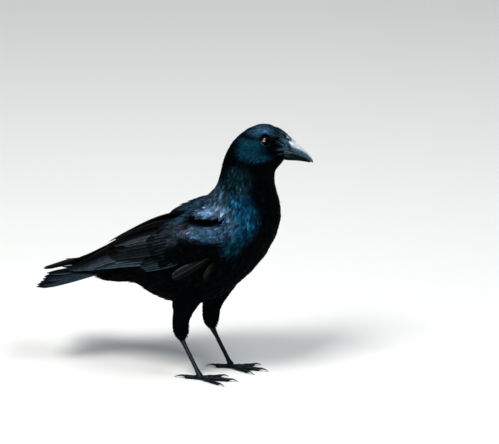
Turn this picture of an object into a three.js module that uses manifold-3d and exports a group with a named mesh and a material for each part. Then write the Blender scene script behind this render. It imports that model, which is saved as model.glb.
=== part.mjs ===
// A standing crow at life size, as a museum's still model. Millimetres, +X the way it faces, +Y its left, +Z up.
// The flesh is one long loft from the undertail to the face, parted into head, neck, trunk and tail base.
// Folded wings, tail feathers, bill, eyes, thighs, shanks, toes and claws are solids of their own.
import * as THREE from "three";
import { mergeVertices } from "three/addons/utils/BufferGeometryUtils.js";
import Module from "manifold-3d";

const wasm = await Module();
wasm.setup();

// ---- driving dimensions -------------------------------------------------------------------------

const PART_GAP = 0.35; // clearance between neighbouring solids
const FINENESS = 0.1; // triangles smaller than this are merged away after the cuts
const AROUND = 20; // points round a body section
const BODY_RINGS = 27; // sections along the body

// Sections of the body from the undertail to the face. back and front are the [x, z] of the section's two
// ends in the middle plane, half its half width, and top how much wider it is near the back than the front.
const BODY_STATIONS = [
  { name: "undertail tip", back: [-127, 140], front: [-134, 119], half: 20, top: 0.0 },
  { name: "rump", back: [-103, 158], front: [-108, 115], half: 30, top: 0.0 },
  { name: "vent", back: [-76, 177], front: [-79, 111], half: 39, top: 0.0 },
  { name: "loin", back: [-48, 194], front: [-52, 99], half: 45, top: 0.05 },
  { name: "flank", back: [-20, 211], front: [-20, 92], half: 49, top: 0.08 },
  { name: "belly", back: [3, 226], front: [18, 99], half: 51, top: 0.08 },
  { name: "low breast", back: [15, 238], front: [50, 124], half: 52, top: 0.05 },
  { name: "breast", back: [21, 249], front: [78, 155], half: 50, top: 0.0 },
  { name: "high breast", back: [24, 259], front: [97.4, 193], half: 45, top: 0.0 },
  { name: "neck base", back: [26, 267], front: [100.8, 221], half: 38.5, top: 0.0 },
  { name: "middle neck", back: [28, 276], front: [94, 247], half: 32.5, top: 0.0 },
  { name: "throat", back: [32, 290], front: [92.8, 264], half: 28, top: -0.04 },
  { name: "nape", back: [42, 308], front: [96, 274], half: 24.5, top: -0.08 },
  { name: "hind crown", back: [58, 323], front: [100, 280], half: 22.5, top: -0.1 },
  { name: "crown", back: [78, 331.5], front: [103.5, 284], half: 20.5, top: -0.08 },
  { name: "forehead", back: [95, 327], front: [106, 286.5], half: 16, top: -0.04 },
  { name: "lores", back: [106, 319], front: [108.5, 289], half: 11, top: 0.0 },
  { name: "face end", back: [111, 311.5], front: [111, 293], half: 6, top: 0.0 },
];
// Planes that part the body: a point [x, z] on each and the way [x, z] that it faces, towards the head.
const HEAD_CUT = { at: [62, 284], facing: [0.78, 0.62] };
const NECK_CUT = { at: [60, 234], facing: [0.52, 0.86] };
const TAIL_CUT = { at: [-92, 140], facing: [0.94, 0.34] };

// The shoulder feathers swell over each wing's upper edge. pitch is nose up and yaw inwards, in degrees.
const SCAPULARS = { centre: [0, 27, 207.5], radii: [54, 15, 15.5], pitch: 22, yaw: -6 };

// The folded wing lies on round sections: the middle [y, z] and radius of each, at its x.
const WING_SECTIONS = [
  { x: 66, middle: [6, 192], radius: 37 },
  { x: 30, middle: [4, 180], radius: 47 },
  { x: 0, middle: [4, 167], radius: 49 },
  { x: -60, middle: [2, 150], radius: 44 },
  { x: -100, middle: [1, 137], radius: 34.5 },
  { x: -130, middle: [0, 121], radius: 31 },
  { x: -160, middle: [0, 104], radius: 29 },
];
const WING_DEPTH = 5.5; // how far the wing sinks into the trunk
// The coverts' shell: its upper and lower edge, as angles from straight up, and how proud it stands, at x.
const COVERT_EDGES = [
  { x: 58, upper: 62, lower: 76, proud: 0.5 },
  { x: 51, upper: 50, lower: 90, proud: 4.0 },
  { x: 36, upper: 44, lower: 97, proud: 6.0 },
  { x: 10, upper: 36, lower: 97, proud: 6.6 },
  { x: -16, upper: 32, lower: 95, proud: 5.6 },
  { x: -36, upper: 34, lower: 92, proud: 4.2 },
  { x: -48, upper: 44, lower: 84, proud: 3.2 },
];

// The two rows of flight feathers in a folded wing. A row starts at rootX and spans the angles at its roots
// and at its tips, counted from straight up. tips holds each feather's own end, from the inner one outwards.
const INNER_ROW = {
  rootX: -8,
  rootAngle: [12, 80],
  tipAngle: [6, 68],
  tips: [-121, -107, -93, -113, -110, -106, -99],
  lift: 1.2,
};
const OUTER_ROW = {
  rootX: -20,
  rootAngle: [58, 92],
  tipAngle: [30, 78],
  tips: [-158, -151, -141, -129, -116],
  lift: -3.9,
};
const LEFT_WING_RAISE = 8; // how much higher the tip of the left wing stands than the right's
const VANE = 1.3; // thickness of a flight feather in the solids
const VANE_STEP = 0.6; // how far each feather of a row lies over the next
const VANE_CAMBER = 0.3; // how far the middle of a feather stands over its edges
const TIP_ROUND = 9; // how far the corners of a feather's end are rounded back

// The tail: twelve feathers from a root under the tail coverts, in two halves that stand a little apart.
const TAIL = {
  root: [-78, 147],
  length: 127,
  slope: 17.5, // degrees below level
  sideFeathers: 6,
  fan: 9.5, // degrees out to the outermost edge
  rootSpread: 14, // half width of the row of roots
  rounding: 9, // how much shorter the outermost feather is
  arch: 1, // how far the outermost edge bends below the middle
  leftLift: 4.6, // degrees that the left half is raised
  leftTurn: 3, // degrees that the left half is swung out, so a notch parts the halves
};

const EYE = { at: [84.5, 14.2, 315.5], radius: 6.2, socket: 7.6 };

// The bill: upper and lower edge of each half and its half width, at x.
const UPPER_BILL = [
  { x: 91, top: 305, bottom: 301.6, half: 12.2 },
  { x: 98, top: 311.6, bottom: 301.4, half: 11.4 },
  { x: 106, top: 314.9, bottom: 300.6, half: 9.8 },
  { x: 113, top: 312, bottom: 299.2, half: 8.2 },
  { x: 121, top: 307.2, bottom: 296.8, half: 6.5 },
  { x: 128, top: 302.7, bottom: 294.2, half: 4.9 },
  { x: 134, top: 297.6, bottom: 291.1, half: 3.3 },
  { x: 138, top: 293, bottom: 287.6, half: 2.1 },
  { x: 140.6, top: 288.6, bottom: 285.2, half: 1.0 },
];
const LOWER_BILL = [
  { x: 92, top: 301.2, bottom: 294, half: 11.8 },
  { x: 99, top: 301, bottom: 289, half: 10.6 },
  { x: 107, top: 300.1, bottom: 286.6, half: 8.8 },
  { x: 114, top: 298.6, bottom: 286.6, half: 7.2 },
  { x: 121, top: 296.4, bottom: 286.8, half: 5.6 },
  { x: 128, top: 293.8, bottom: 286.4, half: 4.0 },
  { x: 134, top: 290.6, bottom: 285.8, half: 2.5 },
  { x: 137.6, top: 287.3, bottom: 285.4, half: 1.2 },
];
const NASAL_TUFT = { centre: [100.5, 308.5], radii: [19, 9.8, 8.2], pitch: 22 };

// Legs. thigh rows are the feathered part: height, middle and half length along x, and half width.
const LEGS = {
  right: {
    side: -1,
    thigh: [
      { z: 140, x: 2, long: 12, y: 28, wide: 7 },
      { z: 133, x: 0, long: 24, y: 28, wide: 14 },
      { z: 118, x: -5, long: 25, y: 28, wide: 17.5 },
      { z: 105, x: -11, long: 19, y: 28, wide: 15.5 },
      { z: 91, x: -15, long: 13, y: 29, wide: 12 },
      { z: 77, x: -19, long: 10.4, y: 27, wide: 9.6 },
      { z: 63, x: -19, long: 8, y: 25, wide: 7.4 },
      { z: 54, x: -18.2, long: 4.4, y: 24, wide: 4.4 },
    ],
    heel: [-18.4, 24, 52.5],
    foot: [4.5, 23, 3.9],
  },
  left: {
    side: 1,
    thigh: [
      { z: 138, x: 28, long: 12, y: 26, wide: 7 },
      { z: 131, x: 25, long: 24, y: 26, wide: 14 },
      { z: 116, x: 20, long: 25, y: 27, wide: 17 },
      { z: 101, x: 15, long: 19.5, y: 27, wide: 15 },
      { z: 84, x: 9.8, long: 13.2, y: 26, wide: 11.6 },
      { z: 72, x: 7.6, long: 10.4, y: 25, wide: 9.4 },
      { z: 60, x: 8.2, long: 7.4, y: 23.4, wide: 7 },
      { z: 52, x: 10.2, long: 3.8, y: 22.4, wide: 4 },
    ],
    heel: [10.9, 22, 50.5],
    foot: [34, 21.5, 3.9],
  },
};
const SHANK = { heelRadius: 3.9, radius: 2.7, footRadius: 4.3, wide: 0.82 };
// Toes: direction in degrees from straight ahead, towards the bird's middle if positive, and sizes.
const TOES = [
  { name: "middle", turn: 2, length: 37, radius: 2.9, claw: 12.5, joints: 3 },
  { name: "inner", turn: 27, length: 27, radius: 2.7, claw: 11.5, joints: 2 },
  { name: "outer", turn: -27, length: 30, radius: 2.5, claw: 10.5, joints: 3 },
  { name: "hind", turn: 178, length: 20, radius: 3.0, claw: 15, joints: 1 },
];
const SOLE_SINK = 0.35; // how far a round toe is cut flat by the floor

// ---- small helpers ------------------------------------------------------------------------------

const radians = THREE.MathUtils.degToRad;
const mix = THREE.MathUtils.lerp;

// The values of a table of rows at any x, on a smooth curve through the rows.
function between(rows, key, x) {
  const down = rows[0].x > rows[rows.length - 1].x;
  const at = (i) => rows[THREE.MathUtils.clamp(i, 0, rows.length - 1)];
  let i = 0;
  while (i < rows.length - 2 && (down ? x < at(i + 1).x : x > at(i + 1).x)) i++;
  const t = THREE.MathUtils.clamp((x - at(i).x) / (at(i + 1).x - at(i).x), 0, 1);
  const value = (j) => key(at(j));
  const slope = (j) => (value(j + 1) - value(j - 1)) / (at(j + 1).x - at(j - 1).x || 1);
  const span = at(i + 1).x - at(i).x;
  const a = value(i);
  const b = value(i + 1);
  return (
    a * (1 + 2 * t) * (1 - t) ** 2 +
    b * t * t * (3 - 2 * t) +
    slope(i) * span * t * (1 - t) ** 2 -
    slope(i + 1) * span * t * t * (1 - t)
  );
}

// A closed mesh through rings of points, each end closed by a zigzag of faces across it.
function loft(rings) {
  const count = rings[0].length;
  const faces = [];
  for (let r = 0; r < rings.length - 1; r++)
    for (let i = 0; i < count; i++) {
      const j = (i + 1) % count;
      const [a, b, c, d] = [r * count + i, r * count + j, (r + 1) * count + j, (r + 1) * count + i];
      faces.push(a, b, c, a, c, d);
    }
  const end = (rings.length - 1) * count;
  for (let [i, j] = [0, count - 1]; j - i > 1; i++, j--) {
    faces.push(end + i, end + i + 1, end + j, j, i + 1, i);
    if (j - i > 2) faces.push(end + i + 1, end + j - 1, end + j, j, j - 1, i + 1);
  }
  const geometry = new THREE.BufferGeometry().setFromPoints(rings.flat());
  geometry.setIndex(faces);
  return geometry;
}

function solidOf(geometry) {
  const bare = geometry.clone();
  bare.deleteAttribute("normal");
  bare.deleteAttribute("uv");
  const merged = mergeVertices(bare, 1e-4);
  const made = (flip) => {
    const index = new Uint32Array(merged.index.array);
    if (flip) for (let i = 0; i < index.length; i += 3) [index[i], index[i + 1]] = [index[i + 1], index[i]];
    const mesh = { numProp: 3, vertProperties: merged.attributes.position.array, triVerts: index };
    return new wasm.Manifold(new wasm.Mesh(mesh));
  };
  const solid = made(false);
  return solid.volume() > 0 ? solid : made(true);
}

const loftSolid = (rings) => solidOf(loft(rings));
const join = (solids) => solids.reduce((sum, s) => sum.add(s));
const largest = (solid) => solid.decompose().sort((a, b) => b.volume() - a.volume())[0];
const mirrored = (solid) => solid.mirror([0, 1, 0]);

// The part of a solid on the side that a plane in x and z faces, half a gap clear of it.
function beyond(solid, cut, sense) {
  const [x, z] = new THREE.Vector2(...cut.facing).normalize().toArray();
  const level = cut.at[0] * x + cut.at[1] * z;
  return solid.trimByPlane([sense * x, 0, sense * z], sense * level + PART_GAP / 2);
}

// An ellipsoid at a place, pitched nose up and turned, in degrees.
function ellipsoid(centre, radii, pitch, yaw = 0, [around, down] = [12, 8]) {
  const geometry = new THREE.SphereGeometry(1, around, down);
  geometry.scale(...radii);
  geometry.rotateY(-radians(pitch));
  geometry.rotateZ(radians(yaw));
  geometry.translate(...centre);
  return solidOf(geometry);
}

function node(name, solid, material) {
  const { numProp, vertProperties, triVerts } = largest(solid.simplify(FINENESS)).getMesh();
  const geometry = new THREE.BufferGeometry();
  const positions = new Float32Array((vertProperties.length / numProp) * 3);
  for (let i = 0; i < positions.length / 3; i++)
    positions.set(vertProperties.subarray(i * numProp, i * numProp + 3), i * 3);
  geometry.setAttribute("position", new THREE.BufferAttribute(positions, 3));
  geometry.setIndex(new THREE.BufferAttribute(new Uint32Array(triVerts), 1));
  geometry.computeVertexNormals();
  const mesh = new THREE.Mesh(geometry, material);
  mesh.name = name;
  return mesh;
}

const surface = (color, roughness) => new THREE.MeshStandardMaterial({ color, roughness, metalness: 0 });
const PLUMAGE = surface(0x0b1218, 0.45);
const FLIGHT = surface(0x14181c, 0.5);
const HORN = surface(0x17191d, 0.35);
const SCALE = surface(0x101214, 0.5);
const EYE_GLOSS = surface(0x120c08, 0.05);

// ---- body ---------------------------------------------------------------------------------------

const stationCurve = (pick) =>
  new THREE.CatmullRomCurve3(BODY_STATIONS.map(pick), false, "catmullrom", 0.5);
const backLine = stationCurve((s) => new THREE.Vector3(s.back[0], 0, s.back[1]));
const frontLine = stationCurve((s) => new THREE.Vector3(s.front[0], 0, s.front[1]));
const girth = stationCurve((s) => new THREE.Vector3(s.half, s.top, 0));

function bodyRing(t) {
  const back = backLine.getPoint(t);
  const front = frontLine.getPoint(t);
  const { x: half, y: top } = girth.getPoint(t);
  const middle = back.clone().add(front).multiplyScalar(0.5);
  const rise = back.clone().sub(middle);
  return Array.from({ length: AROUND }, (_, i) => {
    const turn = (2 * Math.PI * i) / AROUND;
    const point = middle.clone().addScaledVector(rise, Math.cos(turn));
    point.y = half * Math.sin(turn) * (1 + top * Math.cos(turn));
    return point;
  });
}
const bodyRings = Array.from({ length: BODY_RINGS }, (_, i) => bodyRing(i / (BODY_RINGS - 1)));

// ---- folded wing --------------------------------------------------------------------------------

// A point of the right wing's carrying surface, raised from it by lift.
function onWing(x, angle, lift) {
  const radius = between(WING_SECTIONS, (s) => s.radius, x) + lift;
  const y = between(WING_SECTIONS, (s) => s.middle[0], x) + radius * Math.sin(radians(angle));
  const z = between(WING_SECTIONS, (s) => s.middle[1], x) + radius * Math.cos(radians(angle));
  return new THREE.Vector3(x, -y, z);
}

function covertShell(grow) {
  const STEPS_ACROSS = 6;
  const STEPS_ALONG = 8;
  const [front, rear] = [COVERT_EDGES[0].x, COVERT_EDGES[COVERT_EDGES.length - 1].x];
  return loftSolid(
    Array.from({ length: STEPS_ALONG }, (_, k) => {
      const x = mix(front + grow, rear - grow, k / (STEPS_ALONG - 1));
      const radius = between(WING_SECTIONS, (s) => s.radius, x);
      const spare = THREE.MathUtils.radToDeg(grow / radius);
      const upper = between(COVERT_EDGES, (s) => s.upper, x) - spare;
      const lower = between(COVERT_EDGES, (s) => s.lower, x) + spare;
      const proud = between(COVERT_EDGES, (s) => s.proud, x);
      const arc = (lift, swell) =>
        Array.from({ length: STEPS_ACROSS }, (_, i) => {
          const share = i / (STEPS_ACROSS - 1);
          const edge = Math.sqrt(Math.max(0, 1 - (2 * share - 1) ** 4));
          return onWing(x, mix(upper, lower, share), lift + swell * edge);
        });
      const under = Math.min(WING_DEPTH, proud + 1.5);
      return [...arc(-0.6, proud + 0.6 + grow), ...arc(-0.6, -(under - 0.6 + grow)).reverse().slice(1, -1)];
    }),
  );
}

// A row of feathers as one solid, each lying a step over the next. place gives the point at a share across
// the row and a level over its carrying surface, at a share of the way to a feather's tip and a length to
// leave off there.
function featherRow(count, place) {
  const ALONG = [0, 0.5, 0.8, 0.94, 1];
  return loftSolid(
    ALONG.map((s) => {
      const side = (top) =>
        Array.from({ length: count * 3 }, (_, n) => {
          const feather = Math.floor(n / 3);
          const across = (n % 3) / 2;
          const edge = Math.abs(2 * across - 1);
          const camber = VANE_CAMBER * (1 - edge);
          const level = VANE_STEP * (count - 1 - feather) + (top ? VANE / 2 : -VANE / 2) + camber;
          return place((feather + across) / count, s, feather, level, TIP_ROUND * edge * s ** 8);
        });
      return [...side(true), ...side(false).reverse()];
    }),
  );
}

const wingRow = ({ rootX, rootAngle, tipAngle, tips, lift }, tipRaise = 0) =>
  featherRow(tips.length, (share, s, feather, level, short) => {
    const angle = mix(mix(...rootAngle, share), mix(...tipAngle, share), s);
    const point = onWing(mix(rootX, tips[feather], s) + short, angle, lift + level);
    return point.setZ(point.z + tipRaise * s ** 5);
  });

// The room that a row of feathers takes from its neighbours: a smooth shell just outside the whole row.
function rowRoom({ rootX, rootAngle, tipAngle, tips, lift }) {
  const STEPS_ACROSS = 4;
  const STEPS_ALONG = 6;
  const OPEN_AIR = 14;
  const last = Math.min(...tips);
  return loftSolid(
    Array.from({ length: STEPS_ALONG }, (_, k) => {
      const x = mix(rootX + PART_GAP, last - PART_GAP, k / (STEPS_ALONG - 1));
      const s = (x - rootX) / (last - rootX);
      const [upper, lower] = [0, 1].map((share) => mix(mix(...rootAngle, share), mix(...tipAngle, share), s));
      const spare = THREE.MathUtils.radToDeg((PART_GAP + 1.2) / between(WING_SECTIONS, (w) => w.radius, x));
      const arc = (level) =>
        Array.from({ length: STEPS_ACROSS }, (_, i) =>
          onWing(x, mix(upper - spare, lower + spare, i / (STEPS_ACROSS - 1)), level),
        );
      return [...arc(OPEN_AIR), ...arc(lift - VANE / 2 - 2 * PART_GAP).reverse()];
    }),
  );
}

const overMiddle = (solid) => solid.trimByPlane([0, -1, 0], PART_GAP / 2);
const covertsRoom = covertShell(PART_GAP);
const innerRoom = rowRoom(INNER_ROW);
const wingRoom = join([covertsRoom, innerRoom, rowRoom(OUTER_ROW)]);

// ---- tail ---------------------------------------------------------------------------------------

// One half of the tail, in its own slope: how far back, how far across and how high a point lies.
function tailPoint(back, across, up, slope) {
  const [x, z] = [-back * Math.cos(slope) - up * Math.sin(slope), -back * Math.sin(slope) + up * Math.cos(slope)];
  return new THREE.Vector3(TAIL.root[0] + x, across, TAIL.root[1] + z);
}

const tailHalf = (side) =>
  featherRow(TAIL.sideFeathers, (share, s, feather, level, short) => {
    const left = side > 0;
    const turn = radians(TAIL.fan * share + (left ? TAIL.leftTurn : 0));
    const far = s * (TAIL.length - TAIL.rounding * (feather / TAIL.sideFeathers) ** 2) - short;
    const across = PART_GAP / 2 + TAIL.rootSpread * share + far * Math.sin(turn);
    const up = level - TAIL.sideFeathers * VANE_STEP - TAIL.arch * share ** 2;
    return tailPoint(far * Math.cos(turn), side * across, up, radians(TAIL.slope - (left ? TAIL.leftLift : 0)));
  });

// The room of the whole tail in its neighbours: a flat wedge that holds both halves.
function tailWedge() {
  const ring = (back, half) => {
    const high = VANE + VANE_CAMBER + PART_GAP;
    const raised = high + back * Math.sin(radians(TAIL.leftLift));
    const low = -(TAIL.sideFeathers * VANE_STEP + TAIL.arch + VANE + PART_GAP);
    const corners = [[-half, low], [half, low], [half, raised], [0, raised], [0, high], [-half, high]];
    return corners.map(([across, up]) => tailPoint(back, across, up, radians(TAIL.slope)));
  };
  return loftSolid([ring(-1, 18), ring(50, 32), ring(TAIL.length + 3, 54)]);
}
const tailRoom = tailWedge();

// ---- bill ---------------------------------------------------------------------------------------

// Half a bill: a ridge along the convex edge, full sides and a flat cutting edge.
function billHalf(rows, upper, grow) {
  const STEPS = 11;
  const POINTS = 9;
  return loftSolid(
    Array.from({ length: STEPS }, (_, k) => {
      const x = mix(rows[0].x, rows[rows.length - 1].x, k / (STEPS - 1));
      const top = between(rows, (r) => r.top, x) + grow;
      const bottom = between(rows, (r) => r.bottom, x) - grow;
      const half = between(rows, (r) => r.half, x) + grow;
      const [flat, ridge] = upper ? [bottom, top] : [top, bottom];
      return Array.from({ length: POINTS }, (_, i) => {
        const turn = (Math.PI * i) / (POINTS - 1);
        const rise = Math.sin(turn) ** 0.9;
        const y = half * Math.cos(turn) * (1 - 0.12 * rise);
        return new THREE.Vector3(x + (k === STEPS - 1 ? grow : 0), y, mix(flat, ridge, rise));
      });
    }),
  );
}

// ---- legs ---------------------------------------------------------------------------------------

function tube(path, radiusAt, { steps, sides, wide = 1, floor = false }) {
  const rings = Array.from({ length: steps }, (_, k) => {
    const t = k / (steps - 1);
    const middle = path.getPoint(t);
    const ahead = path.getTangent(t);
    const across = new THREE.Vector3(0, 0, 1).cross(ahead);
    if (across.lengthSq() < 1e-6) across.set(0, 1, 0);
    across.normalize();
    const up = new THREE.Vector3().crossVectors(ahead, across);
    const radius = radiusAt(t);
    return Array.from({ length: sides }, (_, i) => {
      const turn = (2 * Math.PI * (i + 0.5)) / sides;
      return middle
        .clone()
        .addScaledVector(across, radius * wide * Math.cos(turn))
        .addScaledVector(up, radius * Math.sin(turn));
    });
  });
  const solid = loftSolid(rings);
  return floor ? solid.trimByPlane([0, 0, 1], 0) : solid;
}

function thigh({ side, thigh: rows }, grow) {
  const POINTS = 12;
  const RINGS = 8;
  const line = new THREE.CatmullRomCurve3(rows.map((r) => new THREE.Vector3(r.x, side * r.y, r.z)));
  const sizes = new THREE.CatmullRomCurve3(rows.map((r) => new THREE.Vector3(r.long, r.wide, 0)));
  return loftSolid(
    Array.from({ length: RINGS }, (_, k) => {
      const t = k / (RINGS - 1);
      const middle = line.getPoint(t);
      const { x: long, y: wide } = sizes.getPoint(t);
      return Array.from({ length: POINTS }, (_, i) => {
        const turn = (2 * Math.PI * i) / POINTS;
        const offset = [(long + grow) * Math.cos(turn), (wide + grow) * Math.sin(turn)];
        return new THREE.Vector3(middle.x + offset[0], middle.y + offset[1], middle.z);
      });
    }),
  );
}

function shank({ side, heel, foot }, grow) {
  const at = ([x, y, z]) => new THREE.Vector3(x, side * y, z);
  const ahead = at(foot).sub(at(heel)).normalize();
  const top = at(heel).addScaledVector(ahead, -4 - grow);
  const path = new THREE.LineCurve3(top, at(foot));
  const radiusAt = (t) => {
    const nearHeel = 1 - THREE.MathUtils.smoothstep(t, 0.06, 0.26);
    const nearFoot = THREE.MathUtils.smoothstep(t, 0.8, 0.97);
    const round = Math.sqrt(Math.max(0.2, 1 - Math.max(0, 0.06 - t) / 0.08));
    return mix(mix(SHANK.radius, SHANK.heelRadius, nearHeel), SHANK.footRadius, nearFoot) * round + grow;
  };
  const leg = tube(path, radiusAt, { steps: 10, sides: 8, wide: SHANK.wide });
  const hub = ellipsoid(at(foot).toArray(), [4.8 + grow, 4.6 + grow, 4.3 + grow], 0, 0, [10, 6]);
  return leg.add(hub).trimByPlane([0, 0, 1], 0);
}

// A toe lies from the foot's hub outwards on the floor. Its heading is turned towards the middle of the bird.
function toeLine({ side, foot }, toe) {
  const heading = -side * radians(toe.turn);
  const ahead = new THREE.Vector3(Math.cos(heading), Math.sin(heading), 0);
  return (far, z) => new THREE.Vector3(foot[0], side * foot[1], 0).addScaledVector(ahead, far).setZ(z);
}

function toeSolid(leg, toe, grow) {
  const at = toeLine(leg, toe);
  const low = toe.radius - SOLE_SINK;
  const path = new THREE.CatmullRomCurve3([
    at(2.2, toe.radius + 0.6),
    at(mix(2.2, toe.length, 0.25), toe.radius + 0.2),
    at(mix(2.2, toe.length, 0.6), low),
    at(toe.length + grow, low * 0.92),
  ]);
  const radiusAt = (t) => toe.radius * mix(1, 0.8, t) * (1 + 0.1 * Math.cos(2 * Math.PI * toe.joints * t)) + grow;
  return tube(path, radiusAt, { steps: 6, sides: 8, wide: 1.05, floor: true });
}

function clawSolid(leg, toe) {
  const at = toeLine(leg, toe);
  const low = toe.radius - SOLE_SINK;
  const base = toe.length - 1.2;
  const path = new THREE.CatmullRomCurve3([
    at(base, low * 1.05),
    at(base + toe.claw * 0.35, low * 1.35),
    at(base + toe.claw * 0.7, low * 0.95),
    at(base + toe.claw, 0.45),
  ]);
  const radiusAt = (t) => mix(toe.radius * 0.74, 0.35, t ** 0.8);
  return tube(path, radiusAt, { steps: 5, sides: 6, wide: 0.72, floor: true });
}

// ---- joining and parting ------------------------------------------------------------------------

const scapularBody = (grow) => {
  const { centre, radii, pitch, yaw } = SCAPULARS;
  return ellipsoid(centre, radii.map((r) => r + grow), pitch, yaw, [14, 14]);
};
const scapulars = scapularBody(0);
const billRoom = billHalf(UPPER_BILL, true, PART_GAP).add(billHalf(LOWER_BILL, false, PART_GAP));
const nasalTuft = ellipsoid(
  [NASAL_TUFT.centre[0], 0, NASAL_TUFT.centre[1]],
  NASAL_TUFT.radii,
  -NASAL_TUFT.pitch,
);
const eyeAt = (side, radius) =>
  ellipsoid([EYE.at[0], side * EYE.at[1], EYE.at[2]], [radius, radius, radius], 0, 0, [14, 8]);
const socketAt = (side) =>
  ellipsoid([EYE.at[0], side * (EYE.at[1] + 6.4), EYE.at[2]], [EYE.socket, 3.4, EYE.socket * 0.86], 0);

const shoulder = mirrored(scapularBody(PART_GAP));
const whole = loftSolid(bodyRings).add(nasalTuft);
const thighRoom = thigh(LEGS.right, PART_GAP).add(thigh(LEGS.left, PART_GAP));
const carved = whole
  .subtract(wingRoom)
  .subtract(mirrored(wingRoom))
  .add(scapulars)
  .add(mirrored(scapulars))
  .subtract(tailRoom)
  .subtract(billRoom)
  .subtract(thighRoom)
  .subtract(socketAt(1))
  .subtract(socketAt(-1))
  .subtract(eyeAt(1, EYE.radius + PART_GAP))
  .subtract(eyeAt(-1, EYE.radius + PART_GAP));

const head = beyond(carved, HEAD_CUT, 1);
const neck = beyond(beyond(carved, HEAD_CUT, -1), NECK_CUT, 1);
const trunk = beyond(beyond(beyond(carved, HEAD_CUT, -1), NECK_CUT, -1), TAIL_CUT, 1);
const tailBase = beyond(carved, TAIL_CUT, -1);

const crow = new THREE.Group();
crow.add(node("head", head, PLUMAGE));
crow.add(node("neck", neck, PLUMAGE));
crow.add(node("trunk", trunk, PLUMAGE));
crow.add(node("tail_base", tailBase, PLUMAGE));
const coverts = covertShell(0).subtract(shoulder);
const taken = join([covertsRoom, shoulder]);
const secondaries = overMiddle(wingRow(INNER_ROW)).subtract(taken).subtract(tailRoom);
const outer = (tipRaise) => overMiddle(wingRow(OUTER_ROW, tipRaise)).subtract(covertsRoom).subtract(innerRoom);
const primaries = {
  right: outer(0).subtract(tailRoom),
  left: mirrored(outer(LEFT_WING_RAISE)).subtract(tailRoom),
};
for (const [side, turned] of [["right", (s) => s], ["left", mirrored]]) {
  crow.add(node(`wing_${side}_coverts`, turned(coverts), PLUMAGE));
  crow.add(node(`wing_${side}_secondaries`, turned(secondaries), FLIGHT));
  crow.add(node(`wing_${side}_primaries`, primaries[side], FLIGHT));
}
crow.add(node("tail_feathers_right", tailHalf(-1), FLIGHT));
crow.add(node("tail_feathers_left", tailHalf(1), FLIGHT));
crow.add(node("bill_upper", billHalf(UPPER_BILL, true, 0), HORN));
crow.add(node("bill_lower", billHalf(LOWER_BILL, false, 0).subtract(billHalf(UPPER_BILL, true, PART_GAP)), HORN));
crow.add(node("eye_right", eyeAt(-1, EYE.radius), EYE_GLOSS));
crow.add(node("eye_left", eyeAt(1, EYE.radius), EYE_GLOSS));
for (const [side, leg] of Object.entries(LEGS)) {
  const shankRoom = shank(leg, PART_GAP);
  crow.add(node(`thigh_${side}`, thigh(leg, 0).subtract(shankRoom), PLUMAGE));
  crow.add(node(`shank_${side}`, shank(leg, 0), SCALE));
  let taken = shankRoom;
  for (const toe of TOES) {
    crow.add(node(`toe_${side}_${toe.name}`, toeSolid(leg, toe, 0).subtract(taken), SCALE));
    const room = toeSolid(leg, toe, PART_GAP);
    crow.add(node(`claw_${side}_${toe.name}`, clawSolid(leg, toe).subtract(room), HORN));
    taken = taken.add(room);
  }
}

// The origin is on the floor, under the middle of the whole bird's box.
const box = new THREE.Box3().setFromObject(crow);
const middle = box.getCenter(new THREE.Vector3());
crow.position.set(-middle.x, -middle.y, -box.min.z);

export default crow;
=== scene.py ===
# %% [markdown]
# # A standing crow
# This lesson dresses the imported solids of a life-size crow: one skin for all the flesh, a coat of
# separate feathers over it, long flight feathers in wings and tail, and smooth pieces for bill, eyes,
# legs and claws. Sizes are in millimetres in the crow's own frame and turned into metres at the end.

# %% Load the frame
import math

import bpy
import numpy as np
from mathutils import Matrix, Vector
from mathutils.bvhtree import BVHTree
from mathutils.kdtree import KDTree


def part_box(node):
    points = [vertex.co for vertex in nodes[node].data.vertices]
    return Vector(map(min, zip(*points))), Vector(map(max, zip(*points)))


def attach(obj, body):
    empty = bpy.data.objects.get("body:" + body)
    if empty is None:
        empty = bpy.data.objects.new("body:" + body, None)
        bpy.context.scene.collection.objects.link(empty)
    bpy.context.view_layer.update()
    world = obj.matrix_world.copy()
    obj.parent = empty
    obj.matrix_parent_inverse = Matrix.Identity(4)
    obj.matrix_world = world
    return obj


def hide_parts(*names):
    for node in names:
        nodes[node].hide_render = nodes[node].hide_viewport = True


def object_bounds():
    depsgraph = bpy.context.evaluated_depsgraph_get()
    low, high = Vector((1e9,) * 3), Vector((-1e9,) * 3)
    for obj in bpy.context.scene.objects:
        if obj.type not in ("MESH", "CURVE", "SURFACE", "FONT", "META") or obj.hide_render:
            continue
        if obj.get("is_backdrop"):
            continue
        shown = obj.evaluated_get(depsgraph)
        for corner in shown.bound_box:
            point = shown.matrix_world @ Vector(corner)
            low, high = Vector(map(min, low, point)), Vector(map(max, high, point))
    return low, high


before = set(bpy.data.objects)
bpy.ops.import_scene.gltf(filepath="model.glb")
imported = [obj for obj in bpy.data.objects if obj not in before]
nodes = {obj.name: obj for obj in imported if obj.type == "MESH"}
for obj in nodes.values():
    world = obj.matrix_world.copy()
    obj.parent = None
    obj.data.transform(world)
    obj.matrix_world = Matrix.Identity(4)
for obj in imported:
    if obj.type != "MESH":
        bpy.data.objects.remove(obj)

cad_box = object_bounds()
MM = 0.001
SOLID_EYE = np.array([84.5, 14.2, 315.5])
EYE = np.array([84.5, 12.4, 314.3])  # a little deeper and lower than the solid one
EYE_RADIUS = 6.2
eye_low, eye_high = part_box("eye_right")
# The crow's frame has its x zero over the middle of the back, and the row frame under the whole box.
SHIFT = np.array([(eye_low.x + eye_high.x) / 2 / MM - SOLID_EYE[0], 0.0, 0.0])


def metres(points):
    """Points of the crow's frame, in millimetres, as metres in the row frame."""
    return (np.asarray(points, float) + SHIFT) * MM


def unit(vectors):
    """Vectors brought to length one."""
    length = np.linalg.norm(vectors, axis=-1, keepdims=True)
    return vectors / np.maximum(length, 1e-9)


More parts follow.
